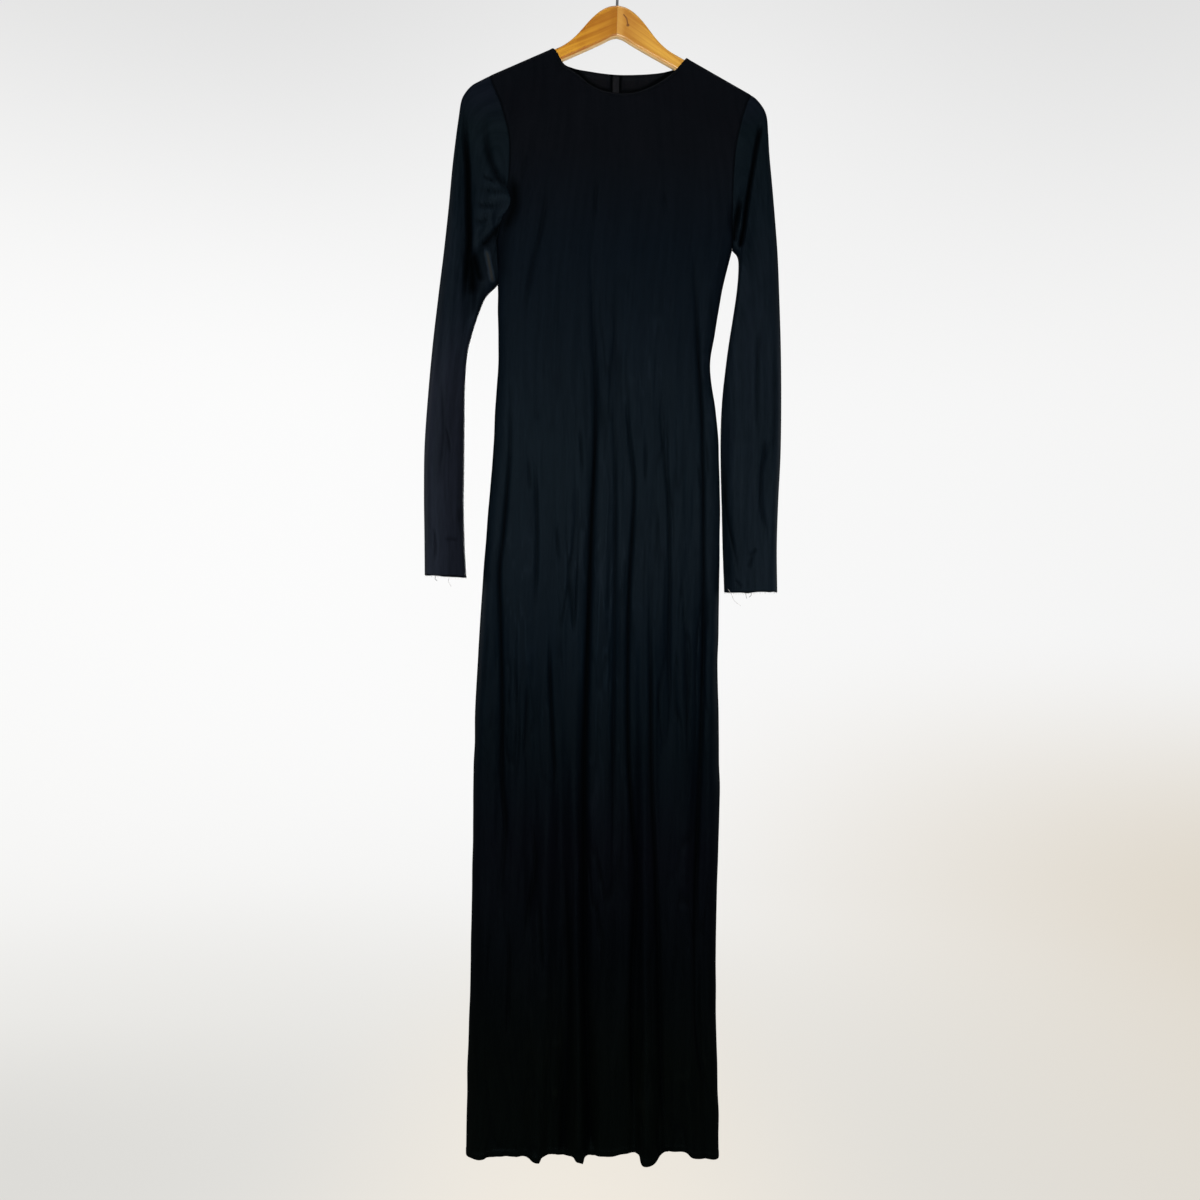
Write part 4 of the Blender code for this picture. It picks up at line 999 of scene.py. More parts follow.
sleeveCreases = {
    "right": {
        "front": [
            crease(-8.0, 5.5, (-202, -196), (-200, -237), (-195, -291), (-193, -341), (-191, -384),
                   (-193, -420), (-194, -475), sharp=1.0, fadeIn=0.3, fadeOut=0.2, dark=1.0, tight=0.35),
            crease(-3.0, 13, (-190, -388), (-187, -415), (-185, -466), dark=1.0, tight=0.45, fadeIn=0.25,
                   fadeOut=0.3),
            crease(-2.0, 9, (-188, -394), (-181, -415), (-174, -442), dark=1.0, tight=0.5, fadeIn=0.2,
                   fadeOut=0.2),
            crease(-0.6, 17, (-170, -382), (-166, -404), (-162, -424), (-160, -442), dark=0.42, tight=0.35,
                   fadeIn=0.2, fadeOut=0.2),
            crease(1.4, 5.2, (-171, -374), (-168, -390), (-164, -407), (-160.5, -424), (-157.5, -438),
                   light=2.0, fadeIn=0.3, fadeOut=0.05),
            crease(-7.0, 8, (-176, -204), (-168, -265), (-153, -297), (-141, -311), (-134, -329), sharp=1.2,
                   fadeIn=0.5, fadeOut=0.04, dark=0.8, tight=1.5),
            crease(-7.5, 18, (-134, -336), (-153, -362), (-177, -391), steep=3.6, sharp=1.2, fadeIn=0.1,
                   fadeOut=0.15, dark=1.0, tight=1.3),
            crease(-2.0, 15, (-174, -424), (-181, -455), (-186, -490), sharp=1.3, dark=0.45, tight=1.0),
            crease(-1.6, 3.5, (-176, -293), (-168, -300), (-156, -303), dark=0.6, tight=1.2),
            crease(1.2, 3.6, (-173, -302), (-162, -307), (-148, -306), light=0.5),
            crease(-2.2, 3.5, (-182, -311), (-165, -316), (-144, -316), dark=0.7, tight=1.2),
            crease(1.4, 3.6, (-170, -325), (-158, -322), (-143, -326), light=0.6),
            crease(-2.0, 3.5, (-186, -330), (-170, -336), (-148, -334), dark=0.6, tight=1.2),
            crease(1.4, 3.6, (-180, -347), (-168, -342), (-152, -345), light=0.45),
            crease(-2.0, 3.5, (-187, -354), (-176, -358), (-163, -352), dark=0.55, tight=1.2),
            crease(1.2, 3.6, (-186, -371), (-178, -365), (-170, -363), light=0.4),
            crease(-2.0, 5, (-216, -631), (-211, -646), (-207, -673), dark=0.35),
            crease(-1.2, 7, (-222, -560), (-217, -640), (-221, -720)),
            crease(-1.4, 5, (-195, -739), (-195, -766)),
            crease(-2.2, 4.5, (-228, -767), (-223, -790), (-224, -821), dark=0.4),
            crease(-1.9, 5, (-214, -786), (-194, -786)),
        ],
        "back": [
            crease(-5.0, 8, (-203, -222), (-199, -330), (-202, -450), (-209, -560)),
            crease(-3.2, 8, (-176, -220), (-170, -290), (-160, -345), fadeOut=0.1),
            crease(-2.2, 6, (-196, -520), (-203, -600), (-198, -690)),
            crease(-2.0, 6, (-224, -640), (-219, -720), (-224, -800)),
            crease(-2.4, 6, (-156, -352), (-176, -372)),
            crease(-1.6, 5, (-170, -318), (-154, -326)),
            crease(-1.4, 5, (-212, -742), (-197, -750)),
        ],
    },
    "left": {
        "front": [
            crease(-7.0, 4.6, (199, -212), (193, -247), (188, -281), (184, -309), (181, -336), (178, -364),
                   (174, -385), sharp=1.0, fadeIn=0.1, fadeOut=0.06, dark=1.0, tight=0.5),
            crease(-5.0, 5.5, (175, -310), (172, -324), (169, -343), (166, -362), (166, -376), sharp=1.2,
                   fadeOut=0.1, dark=1.0, tight=0.5),
            crease(-2.8, 5.5, (211, -636), (214, -658), (210, -684), (212, -736), (219, -762), (224, -797),
                   sharp=1.5, fadeIn=0.15, fadeOut=0.5, dark=0.5),
            crease(-2.6, 6, (160, -660), (163, -705), (168, -750), (179, -798), (184, -828)),
            crease(-1.9, 5, (196, -799), (209, -788)),
            crease(-1.7, 5, (202, -796), (196, -816)),
            crease(-1.2, 5, (180, -830), (189, -842)),
            crease(-1.4, 7, (205, -470), (201, -560), (204, -640)),
            crease(-1.3, 7, (222, -520), (226, -600), (224, -690)),
        ],
        "back": [
            crease(-5.0, 8, (204, -222), (198, -330), (190, -430), (193, -540)),
            crease(-3.4, 7, (180, -250), (176, -320), (170, -372), fadeOut=0.1),
            crease(-2.6, 7, (215, -500), (208, -620), (213, -740)),
            crease(-2.0, 6, (180, -620), (186, -710), (182, -800)),
            crease(-1.4, 5, (205, -778), (190, -785)),
        ],
    },
}


def armholeEdge(side, face, share):
    # a panel's armhole edge, moved out to where the sleeve starts
    edge, outward = (0.0, -1.0) if side == "right" else (1.0, 1.0)
    points = panelAt(face, np.full_like(share, edge), share, plain=True)[0]
    more = softStep(share, sleeveShape["underarmGapStart"], 1.0)
    gap = sleeveShape["gap"] + sleeveShape["underarmGap"] * more
    return points + np.stack([outward * gap, np.zeros_like(gap), -sleeveShape["gapDrop"] * gap], axis=-1)


def sleeveFoldRelief(folds, x, z):
    relief = np.zeros_like(x)
    for top, middle, low, depth, width in folds:
        centre = throughKnots([low[1], middle[1], top[1]], [low[0], middle[0], top[0]], z)
        across = np.minimum(np.abs(x - centre) / width, 1.0)
        along = np.clip((top[1] - z) / (top[1] - low[1]), 0.0, 1.0)
        height = depth * np.minimum(np.minimum(1.0, 5.0 * along), 0.3 + 5.0 * (1.0 - along))
        height = height * (1 - softStep(-z, -low[1] - 4.0, -low[1] + 10.0))
        relief += np.where(z <= top[1], height * bell(across), 0.0)
    return relief


def sleeveForm(side, face, levels, run):
    # points of one side of the sleeve without its creases, and how far each stands out of the side folds
    outward = -1.0 if face == "front" else 1.0
    sign = 1.0 if side == "left" else -1.0
    hole = np.interp(run * (len(holeShares) - 1), np.arange(len(holeShares)), holeShares)
    seam = armholeEdge(side, face, hole)
    seam[0, 1] = 0.0
    seam[-1, 1] = 0.0
    outerX, outerZ, innerX, innerZ = seam[0, 0], seam[0, 2], seam[-1, 0], seam[-1, 2]
    rings = [(outerX, outerZ, innerX, innerZ, sleeveShape["startThickness"], 0)] + sleeveRings[side]
    ring = {}
    for k, name in enumerate(ringColumns):
        ring[name] = throughKnots(np.arange(len(rings)), [row[k] for row in rings], levels)[:, None]
    settle = softStep(levels, 0.0, sleeveShape["settled"])[:, None]
    turn = np.radians(ring["turn"])
    halfX = 0.5 * np.abs(ring["outerX"] - ring["innerX"])
    spread = np.sqrt(np.maximum(0.0, halfX**2 - (ring["thickness"] * np.sin(turn)) ** 2))
    halfY = spread * np.tan(turn)
    chordZ = ring["innerZ"] - ring["outerZ"]
    chord = 2.0 * np.sqrt(spread**2 + halfY**2 + 0.25 * chordZ**2)
    rollOut = np.minimum(0.5 * chord, dress["rollRadius"] + sleeveShape["rollGrowth"] * settle)
    rollIn = np.minimum(0.5 * chord, sleeveShape["innerRoll"])
    share = hole[None, :] + (0.5 - 0.5 * np.cos(math.pi * run) - hole)[None, :] * settle
    profile = quarterRound(np.minimum(1.0, share * chord / rollOut))
    profile = profile * quarterRound(np.minimum(1.0, (1.0 - share) * chord / rollIn))
    bulge = outward * ring["thickness"] * profile
    x = ring["outerX"] - sign * (halfX - spread + 2.0 * spread * share) + sign * bulge * np.sin(turn)
    z = ring["outerZ"] + chordZ * share
    relief = sleeveFoldRelief(sleeveFolds[side], x, z) * (sleeveShape["backFolds"] if face == "back" else 1.0)
    y = (2.0 * share - 1.0) * halfY + bulge * np.cos(turn) + outward * relief * profile

    # the first rings keep the armhole's shape
    startX, startY, startZ = [seam[:, k][None, :] for k in range(3)]
    movedX = startX + (ring["outerX"] - outerX) * (1 - hole) + (ring["innerX"] - innerX) * hole
    movedZ = startZ + (ring["outerZ"] - outerZ) * (1 - hole) + (ring["innerZ"] - innerZ) * hole
    x, y = movedX + (x - movedX) * settle, startY + (y - startY) * settle
    return x, y, movedZ + (z - movedZ) * settle, profile


def sleeveSide(side, face, levels, run):
    # points of one side of the sleeve, for each level down it and each place across it
    outward = -1.0 if face == "front" else 1.0
    x, y, z, profile = sleeveForm(side, face, levels, run)
    relief, paintedShading = creaseRelief(sleeveCreases[side][face], x, z)
    for shiftX, shiftZ, wide, long, seed, height in sleeveShape["fine"]:
        relief = relief + height * streaks(x + shiftX, z + shiftZ, wide, long, seed)
    y = y + outward * relief * profile * softStep(levels, 0.1, 1.6)[:, None]
    if side == "right" and face == "front":
        height, half, far, out = sleeveShape["lap"]
        swell = bell(np.clip((z - height) / half, -1.0, 1.0))
        swell = swell * (softStep(levels, 0.0, 0.9) * (1 - softStep(levels, 0.9, 4.5)))[:, None]
        x = x + far * swell
        y = y - out * swell

    # the seam pulls in, and the raw cuff edge curls out a little
    dip = dress["seamDip"] * (1 - softStep(levels, 0.0, 0.35))[:, None]
    y = y - outward * dip * np.minimum(1.0, np.abs(y) / 3.0)
    last = len(sleeveRings[side])
    curl = softStep(levels, last - 0.09, last)[:, None]
    y = y + outward * sleeveShape["cuffCurl"] * curl * profile
    z = z + curl * streaks(x * 3.0, y * 3.0, *sleeveShape["cuffWave"])
    # painted shade along the armhole seam, at the cuff edge and along the two side folds
    sewn = dress["sewnEdgeShade"] * (1 - softStep(levels, 0.0, 0.22))[:, None]
    cut = sleeveShape["cuffEdgeShade"] * softStep(levels, last - 0.05, last)[:, None]
    edges = sleeveShape["edgeShade"] * (1 - softStep(np.minimum(run, 1 - run), 0.0, 0.035))[None, :]
    edges = edges * softStep(levels, 0.2, 0.5)[:, None]
    return np.stack([x, y, z], axis=-1), darkened(darkened(darkened(paintedShading, sewn), cut), edges)


def makeSleeve(name, side, node):
    rings = sleeveRings[side]
    line = np.array([[0.5 * (r[0] + r[2]), 0.5 * (r[1] + r[3])] for r in rings])
    line = np.concatenate([[line[0] + (0.0, 4.0)], line])
    reached = np.append(0.0, np.cumsum(np.linalg.norm(np.diff(line, axis=0), axis=1)))
    even = np.linspace(0.0, reached[-1] - 3.0, sleeveShape["rows"] - 8)
    at = np.concatenate([[0.0, 0.5, 1.2, 2.2], even[1:], reached[-1] - np.array([2.2, 1.4, 0.7, 0.0])])
    levels = np.interp(np.sort(at), reached, np.arange(len(reached)))
    run = np.linspace(0.0, 1.0, sleeveShape["around"] + 1)
    front, frontPaintedShading = sleeveSide(side, "front", levels, run)
    back, backPaintedShading = sleeveSide(side, "back", levels, run)
    points = np.concatenate([front, back[:, -2:0:-1]], axis=1)
    paintedShading = np.concatenate([frontPaintedShading, backPaintedShading[:, -2:0:-1]], axis=1)
    around = arcAcross(points[..., :1], closed=True)
    down = np.concatenate([points[..., 2], points[:, :1, 2]], axis=1)
    # painted shade outside, and a weaker copy of it inside
    shades = {"paintedShading": paintedShading, "inner": 0.3 * np.maximum(paintedShading, 0.0)}
    obj = clothMesh(name, points, True, side == "left", around, down, shades)
    fromCuff = reached[-1] - np.interp(levels, np.arange(len(reached)), reached)
    cuff = np.broadcast_to(0.25 * (1 - softStep(fromCuff, 0.0, 2.0))[:, None], points.shape[:2])
    giveClothWall(obj, cuff, jerseySleeve[side], jerseyInside)
    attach(obj, "root")
    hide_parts(node)
    return obj


rightSleeve = makeSleeve("rightSleeve", "right", "sleeve_right")
leftSleeve = makeSleeve("leftSleeve", "left", "sleeve_left")
print("sleeves made")


tape = {
    "x": 1.5,
    "width": 9.2,
    "length": 34.0,
    "drop": 3.0,
    "gap": 0.35,
    "thickness": 0.7,
    "crown": 0.5,
    "grid": (15, 32),
    "colour": (0.0066, 0.0071, 0.0096),
    "edge": (0.0012, 0.0012, 0.0016),
    "weft": 0.0007,  # metres from thread to thread
    "warp": 0.0005,
    "stitched": (0.04, 0.95),  # shares of its length where it is sewn down
    "stitch": {"reach": 3.8, "rise": 0.35, "pitch": 1.5, "length": 1.2, "thread": 0.14},
}


def tapeMaterial():
    material, start, shader = newMaterial("wovenTape", {"Specular IOR Level": 0.08})
    cut = start.node("ShaderNodeUVMap", {"uv_map": "cut"})
    across = cut.split()
    weft = start.maths("SINE", across.other("Y") * (2 * math.pi / tape["weft"]))
    warp = start.maths("SINE", across * (2 * math.pi / tape["warp"]))
    edge = start.maths("ABSOLUTE", across).between(0.0034, 0.0044)
    cloudy = cut.noise(260.0, 3.0)
    tone = edge.mix(tape["colour"], tape["edge"])
    feed(shader, {
        "Base Color": (cloudy * 0.7 + weft * 0.08 + 0.1).mix(tape["edge"], tone),
        "Roughness": 0.6 + cloudy * 0.2,
        "Normal": (weft * warp + cloudy).bump(0.5, 0.00012),
    })
    return material


def tapeGrid():
    # points of the tape, just inside the back, from its top edge down
    wide, long = tape["grid"]
    across, down = np.linspace(-0.5, 0.5, wide), np.linspace(0.0, 1.0, long)
    x = tape["x"] + tape["width"] * np.broadcast_to(across, (long, wide))
    z = topEdge(x, "back") - tape["drop"] - tape["length"] * down[:, None]
    roll = dress["rollRadius"]
    settled = softStep(woodTop(x) - z, dress["hugEnd"], dress["fullStart"])
    back = roll + (tableCurve(body, "z", "back", z) - roll) * settled
    away = 0.5 * dress["turnedWall"] + tape["gap"] + tape["crown"] * (1 - (2 * across[None, :]) ** 2)
    return np.stack([x, back - away, z], axis=-1)


tapePoints = tapeGrid()
neckTape = clothMesh("neckTape", tapePoints, False, False, tapePoints[..., 0] - tape["x"], tapePoints[..., 2])
neckTape.data.materials.append(tapeMaterial())
giveWall(neckTape, tape["thickness"])
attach(neckTape, "root")
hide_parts("neck_tape")
print("neck tape made")


hanger = {
    "crown": (0.8, -57.3),
    "thickness": 11.0,
    "rounding": 4.2,
    "tilt": math.radians(1.7),
    "jointGap": 0.015,
    "top": [(0, 0), (11, -2), (21, -7.2), (29.5, -14.2), (37.5, -22.6), (45.5, -32.4), (53, -41.4),
            (61, -49.4), (71, -57.2), (84, -64.2), (110, -77.2)],
    "tip": [(150, -97.3), (183, -114), (191, -119.4), (196.5, -125.8), (198.5, -132.5), (197, -138),
            (192, -139.6), (185, -136)],
    "bottom": [(140, -112.6), (84, -84.6), (40, -62.6), (19, -51.6), (8, -45.4), (0, -43.2)],
    "stemX": 0.4,
    "stemDepth": 22.0,
    "holeRadius": 2.15,
}
wood = {
    "dark": {
        "pale": (0.575, 0.285, 0.024), "deep": (0.28, 0.086, 0.002), "band": (0.27, 0.092, 0.004),
        "grain": math.radians(24.0), "joint": 0.5, "shine": 0.5,
    },
    "light": {
        "pale": (0.635, 0.355, 0.052), "deep": (0.40, 0.160, 0.012), "band": (0.62, 0.34, 0.075),
        "grain": math.radians(-34.0), "joint": 0.6, "shine": 0.85,
    },
    "stain": (0.30, 0.105, 0.010),  # where the varnish is thick beside the joint
    "seam": (0.10, 0.04, 0.008),
    "under": (0.68, 0.46, 0.22),  # painted light: paler on the faces that look down, as if lit from below; they also get less varnish coat
    "crack": [(9.6, -71.0), (13.6, -76.0), (15.6, -85.0)],  # it ends in a small knot
    "cracked": (0.115, 0.034, 0.004),
    "bandShare": 0.38,
    "seamShare": 0.12,
    "crackShare": 0.92,
    "reach": {"stain": (0.006, 0.055), "band": (0.005, 0.012), "seam": (0.0002, 0.0008)},  # from the joint
    "crackHalf": (0.0004, 0.0013),
    "knotRadius": (0.0012, 0.0028),
    "frontFace": (-0.003, -0.001),
    "fine": {"warp": (9.0, 30.0, 30.0), "rings": (5.0, 160.0, 220.0), "fibre": (26.0, 900.0, 1400.0)},
    "stains": 34.0,
    "shares": {"rings": 0.65, "fibre": 0.25, "warp": 0.2, "stains": 0.18},
    "specular": 0.4,
    "coat": 0.25,
    "coatRoughness": 0.18,
    "roughness": 0.34,
    "bump": (0.25, 0.0002),
}


def crackMask(start, place):
    # 1 in the crack and its knot, on the front face only
    x = place.split()
    z = x.other("Z")
    mask = 0.0
    for (ax, az), (bx, bz) in zip(wood["crack"][:-1], wood["crack"][1:]):
        dx, dz = (bx - ax) * mm, (bz - az) * mm
        px, pz = x - ax * mm, z - az * mm
        t = start.node("ShaderNodeClamp", {}, {0: (px * dx + pz * dz) / (dx * dx + dz * dz)})
        gap = start.length(px - t * dx, pz - t * dz)
        mask = start.maths("MAXIMUM", mask, 1 - gap.between(*wood["crackHalf"]))
    knotX, knotZ = wood["crack"][-1]
    knot = start.length(x - knotX * mm, z - knotZ * mm)
    mask = start.maths("MAXIMUM", mask, 1 - knot.between(*wood["knotRadius"]))
    return mask * (1 - x.other("Y").between(*wood["frontFace"]))


def woodMaterial(name, look, cracked):
    material, start, shader = newMaterial(name, {
        "Coat Roughness": wood["coatRoughness"], "Specular IOR Level": wood["specular"] * look["shine"],
    })
    place = start.inMetres()
    lying = place.stretched((1.0, 1.0, 1.0), (0.0, look["grain"], 0.0))
    warp = lying.stretched(wood["fine"]["warp"]).noise(1.0)
    rings = lying.stretched(wood["fine"]["rings"]).noise(1.0, 3.0)
    fibre = lying.stretched(wood["fine"]["fibre"]).noise(1.0, 4.0)
    stains = place.noise(wood["stains"], 3.0).between(0.45, 0.75)
    part = wood["shares"]
    grain = rings.between(0.32, 0.68) * part["rings"] + fibre.between(0.25, 0.75) * part["fibre"]
    grain = grain + warp * part["warp"] + stains * part["stains"]
    colour = grain.mix(look["pale"], look["deep"])
    fromJoint = start.maths("ABSOLUTE", place.split() - hanger["crown"][0] * mm)
    joint = {
        "stain": (look["joint"], wood["stain"]),
        "band": (wood["bandShare"], look["band"]),
        "seam": (wood["seamShare"], wood["seam"]),
    }
    for kind, (share, tint) in joint.items():
        colour = ((1 - fromJoint.between(*wood["reach"][kind])) * share).mix(colour, tint)
    # painted light on the faces that look down
    facing = start.node("ShaderNodeNewGeometry", out="Normal").split().other("Z")
    litUnderside = 1 - facing.between(-0.85, -0.45)
    colour = litUnderside.mix(colour, wood["under"])
    pores = fibre.between(0.66, 0.8)
    relief = fibre * 0.6 - pores * 0.8
    mask = 0.0
    if cracked:
        mask = crackMask(start, place)
        colour = (mask * wood["crackShare"]).mix(colour, wood["cracked"])
        relief = relief - mask * 3.0
    feed(shader, {
        "Base Color": colour,
        "Roughness": wood["roughness"] + rings * 0.12 + litUnderside * 0.4 + mask * 0.4,
        "Coat Weight": (wood["coat"] - pores * 0.2) * look["shine"] * (1 - litUnderside) * (1 - mask),
        "Normal": relief.bump(*wood["bump"]),
    })
    return material


darkWood = woodMaterial("varnishedWoodDark", wood["dark"], False)
lightWood = woodMaterial("varnishedWoodLight", wood["light"], True)


def armMesh(name, side):
    # the arm's outline carried through rings that round its front and back edges
    outline = smoothPath(hanger["top"] + hanger["tip"] + hanger["bottom"], 2.0)
    x = side * np.maximum(outline[:, 0], 0.0)
    z = outline[:, 1] - x * math.sin(hanger["tilt"])
    line = np.stack([hanger["crown"][0] + x, hanger["crown"][1] + z], axis=1)
    line[0, 0] = line[-1, 0] = hanger["crown"][0] + side * hanger["jointGap"]
    along = np.gradient(line, axis=0)
    inward = np.stack([along[:, 1], -along[:, 0]], axis=1) * side
    inward /= np.linalg.norm(inward, axis=1)[:, None]
    inward[0], inward[-1] = (0.0, -1.0), (0.0, 1.0)
    half, radius = 0.5 * hanger["thickness"], hanger["rounding"]
    rings = [(-half, radius * 1.25)]  # depth and inset, from the flat front face round to the side
    for angle in np.linspace(0.0, 0.5 * math.pi, 7):
        rings.append((-half + radius * (1 - math.cos(angle)), radius * (1 - math.sin(angle))))
    rings += [(-y, inset) for y, inset in rings[::-1]]
    points = np.array([[(px, y, pz) for px, pz in line + inward * inset] for y, inset in rings])
    count = len(line)
    faces = gridFaces(len(rings), count, True, side < 0)
    firstCap, lastCap = list(range(count)), list(range((len(rings) - 1) * count, len(rings) * count))
    faces += [firstCap if side < 0 else firstCap[::-1], lastCap[::-1] if side < 0 else lastCap]
    mesh = meshFrom(name, points, [], faces)
    shape = bmesh.new()
    shape.from_mesh(mesh)
    bmesh.ops.recalc_face_normals(shape, faces=shape.faces)
    shape.to_mesh(mesh)
    shape.free()
    return mesh


def drillCrown(obj):
    # the hole for the hook's stem
    radius, depth = hanger["holeRadius"] * mm, 2 * hanger["stemDepth"] * mm
    drill = bpy.data.meshes.new("drill")
    shape = bmesh.new()
    bmesh.ops.create_cone(shape, cap_ends=True, segments=32, radius1=radius, radius2=radius, depth=depth)
    shape.to_mesh(drill)
    shape.free()
    cutter = addObject("drill", drill)
    cutter.location = (hanger["stemX"] * mm, 0.0, hanger["crown"][1] * mm)
    hole = obj.modifiers.new("hole", "BOOLEAN")
    hole.object = cutter
    hole.solver = "EXACT"
    applyModifiers(obj)
    bpy.data.objects.remove(cutter)


def makeArm(name, side, material, node):
    obj = addObject(name, armMesh(name, side))
    drillCrown(obj)
    obj.data.materials.clear()
    obj.data.materials.append(material)
    obj.data.shade_smooth()
    obj.data.set_sharp_from_angle(angle=math.radians(40.0))
    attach(obj, "root")
    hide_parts(node)
    return obj


makeArm("hangerArmRight", -1.0, darkWood, "hanger_arm_right")
makeArm("hangerArmLeft", 1.0, lightWood, "hanger_arm_left")

hook = {
    "wire": 1.8,
    "inner": 18.5,
    "sides": 20,
    "foot": [(0.0, -62.0), (0.0, -47.5), (0.9, -43.2), (3.6, -39.5), (7.6, -36.7)],  # x from the stem, and z
    "bend": (-50.0, 196.0, 23),  # degrees round the inside, and points along it
    "tip": [(-0.6, -4.0), (-2.6, -7.5)],  # from the end of the bend
    "steel": (0.36, 0.36, 0.37),
    "worn": (0.20, 0.19, 0.18),
}


def steelMaterial():
    material, start, shader = newMaterial("drawnSteel", {})
    place = start.inMetres()
    drawn = place.stretched((240.0, 240.0, 1400.0)).noise(1.0, 3.0)
    dull = place.noise(90.0, 3.0).between(0.4, 0.75)
    feed(shader, {
        "Base Color": dull.mix(hook["steel"], hook["worn"]),
        "Metallic": 1 - dull * 0.25,
        "Roughness": 0.34 + dull * 0.2 + drawn * 0.06,
        "Normal": drawn.bump(0.12, 0.0001),
    })
    return material


def hookLine():
    # up the stem, round the bend and down to the tip
    radius = hook["inner"] + hook["wire"]
    stem, centreZ = hanger["stemX"], hook["wire"] - radius
    points = [(stem, hanger["crown"][1] - hanger["stemDepth"] + 1.0)]
    points += [(stem + x, z) for x, z in hook["foot"]]
    for angle in np.radians(np.linspace(*hook["bend"])):
        points.append((radius * math.cos(angle), centreZ + radius * math.sin(angle)))
    endX, endZ = points[-1]
    points += [(endX + x, endZ + z) for x, z in hook["tip"]]
    flat = smoothPath(points, 1.0)
    return np.stack([flat[:, 0], np.zeros(len(flat)), flat[:, 1]], axis=1)


def makeHook():
    path = hookLine()
    fromTip = np.minimum(np.linalg.norm(path - path[-1], axis=1) / hook["wire"], 1.0)
    radii = hook["wire"] * np.sqrt(np.clip(1 - (1 - fromTip) ** 2, 0.02, 1.0))
    obj = tubeMesh("hangerHook", path, radii, hook["sides"], steelMaterial())
    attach(obj, "root")
    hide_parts("hanger_hook")


makeHook()
print("hanger made")


thread = {
    "radius": 0.16,
    "neck": {"below": 4.4, "pitch": 2.9, "length": 2.2},
    "hem": {"above": 7.6, "pitch": 3.1, "length": 2.3},
    "fray": {"spacing": 1.3, "length": 2.6, "radius": 0.07},
    "black": (0.0028, 0.0034, 0.0042),
    "pale": (0.42, 0.40, 0.38),
}


def threadMaterial(name, colour):
    material, start, shader = newMaterial(name, {"Specular IOR Level": 0.05})
    twist = start.inMetres().noise(2600.0)
    feed(shader, {
        "Base Color": twist.mix(tuple(c * 0.6 for c in colour), tuple(c * 1.3 for c in colour)),
        "Roughness": 0.45 + twist * 0.25,
        "Normal": twist.bump(0.4, 0.00005),
    })
    return material


blackThread = threadMaterial("blackThread", thread["black"])
paleThread = threadMaterial("paleThread", thread["pale"])


def newTree(name, sizes):
    # a tree that takes a path, some sizes and a material
    tree = bpy.data.node_groups.new(name, "GeometryNodeTree")

    def socket(label, kind, way="INPUT"):
        return tree.interface.new_socket(label, in_out=way, socket_type="NodeSocket" + kind).identifier

    socket("Path", "Geometry")
    ids = {label: socket(label, "Float") for label in sizes}
    ids["Material"] = socket("Material", "Material")
    socket("Geometry", "Geometry", "OUTPUT")
    return tree, Wire(tree).node("NodeGroupInput"), ids


def repeatAlong(tree, given, every, single, turn, size):
    # one of the single thing at every so many metres of the path
    line = given.node("GeometryNodeMeshToCurve", {}, {0: given})
    spots = given.node("GeometryNodeCurveToPoints", {"mode": "LENGTH"}, {"Curve": line, "Length": every})
    row = given.node("GeometryNodeInstanceOnPoints", {}, {
        "Points": spots, "Instance": single, "Rotation": turn or spots.other("Rotation"), "Scale": size,
    })
    whole = given.node("GeometryNodeRealizeInstances", {}, {0: row})
    material = given.other("Material")
    painted = given.node("GeometryNodeSetMaterial", {}, {"Geometry": whole, "Material": material})
    out = tree.nodes.new("NodeGroupOutput")
    tree.links.new(painted.socket, out.inputs[0])


def stitchTree():
    tree, given, ids = newTree("rowOfStitches", ["Pitch", "Length", "Thread"])
    bead = given.node("GeometryNodeMeshUVSphere", {}, {"Segments": 6, "Rings": 4, "Radius": 1.0})
    bead = given.node("GeometryNodeSetShadeSmooth", {}, {0: bead})
    uneven = given.node("FunctionNodeRandomValue", {"data_type": "FLOAT"}, {2: 0.88, 3: 1.08, "Seed": 4}, 1)
    size = given.node("ShaderNodeCombineXYZ", {}, {
        0: given.other("Thread"), 1: given.other("Thread"), 2: given.other("Length") * 0.5 * uneven,
    })
    repeatAlong(tree, given, given.other("Pitch"), bead, None, size)
    return tree, ids


def frayTree():
    tree, given, ids = newTree("frayedEdge", ["Spacing", "Length", "Thread"])
    long = given.other("Length")
    ends = {}
    for name, (x, z) in {"Start": (0.0, 0.3), "Middle": (0.12, -0.5), "End": (-0.1, -1.0)}.items():
        ends[name] = given.node("ShaderNodeCombineXYZ", {}, {0: long * x, 1: 0.0, 2: long * z})
    fibre = given.node("GeometryNodeCurveQuadraticBezier", {}, {"Resolution": 5, **ends})
    ring = given.node("GeometryNodeCurvePrimitiveCircle", {"mode": "RADIUS"}, {
        "Resolution": 4, "Radius": given.other("Thread"),
    })
    fibre = given.node("GeometryNodeCurveToMesh", {}, {
        "Curve": fibre, "Profile Curve": ring, "Fill Caps": True,
    })
    lean = given.node("FunctionNodeRandomValue", {"data_type": "FLOAT_VECTOR"}, {
        0: (-0.55, -0.55, 0.0), 1: (0.55, 0.55, 6.28), "Seed": 9,
    })
    size = given.node("FunctionNodeRandomValue", {"data_type": "FLOAT"}, {2: 0.25, 3: 1.0, "Seed": 12}, 1)
    repeatAlong(tree, given, given.other("Spacing"), fibre, lean, size)
    return tree, ids


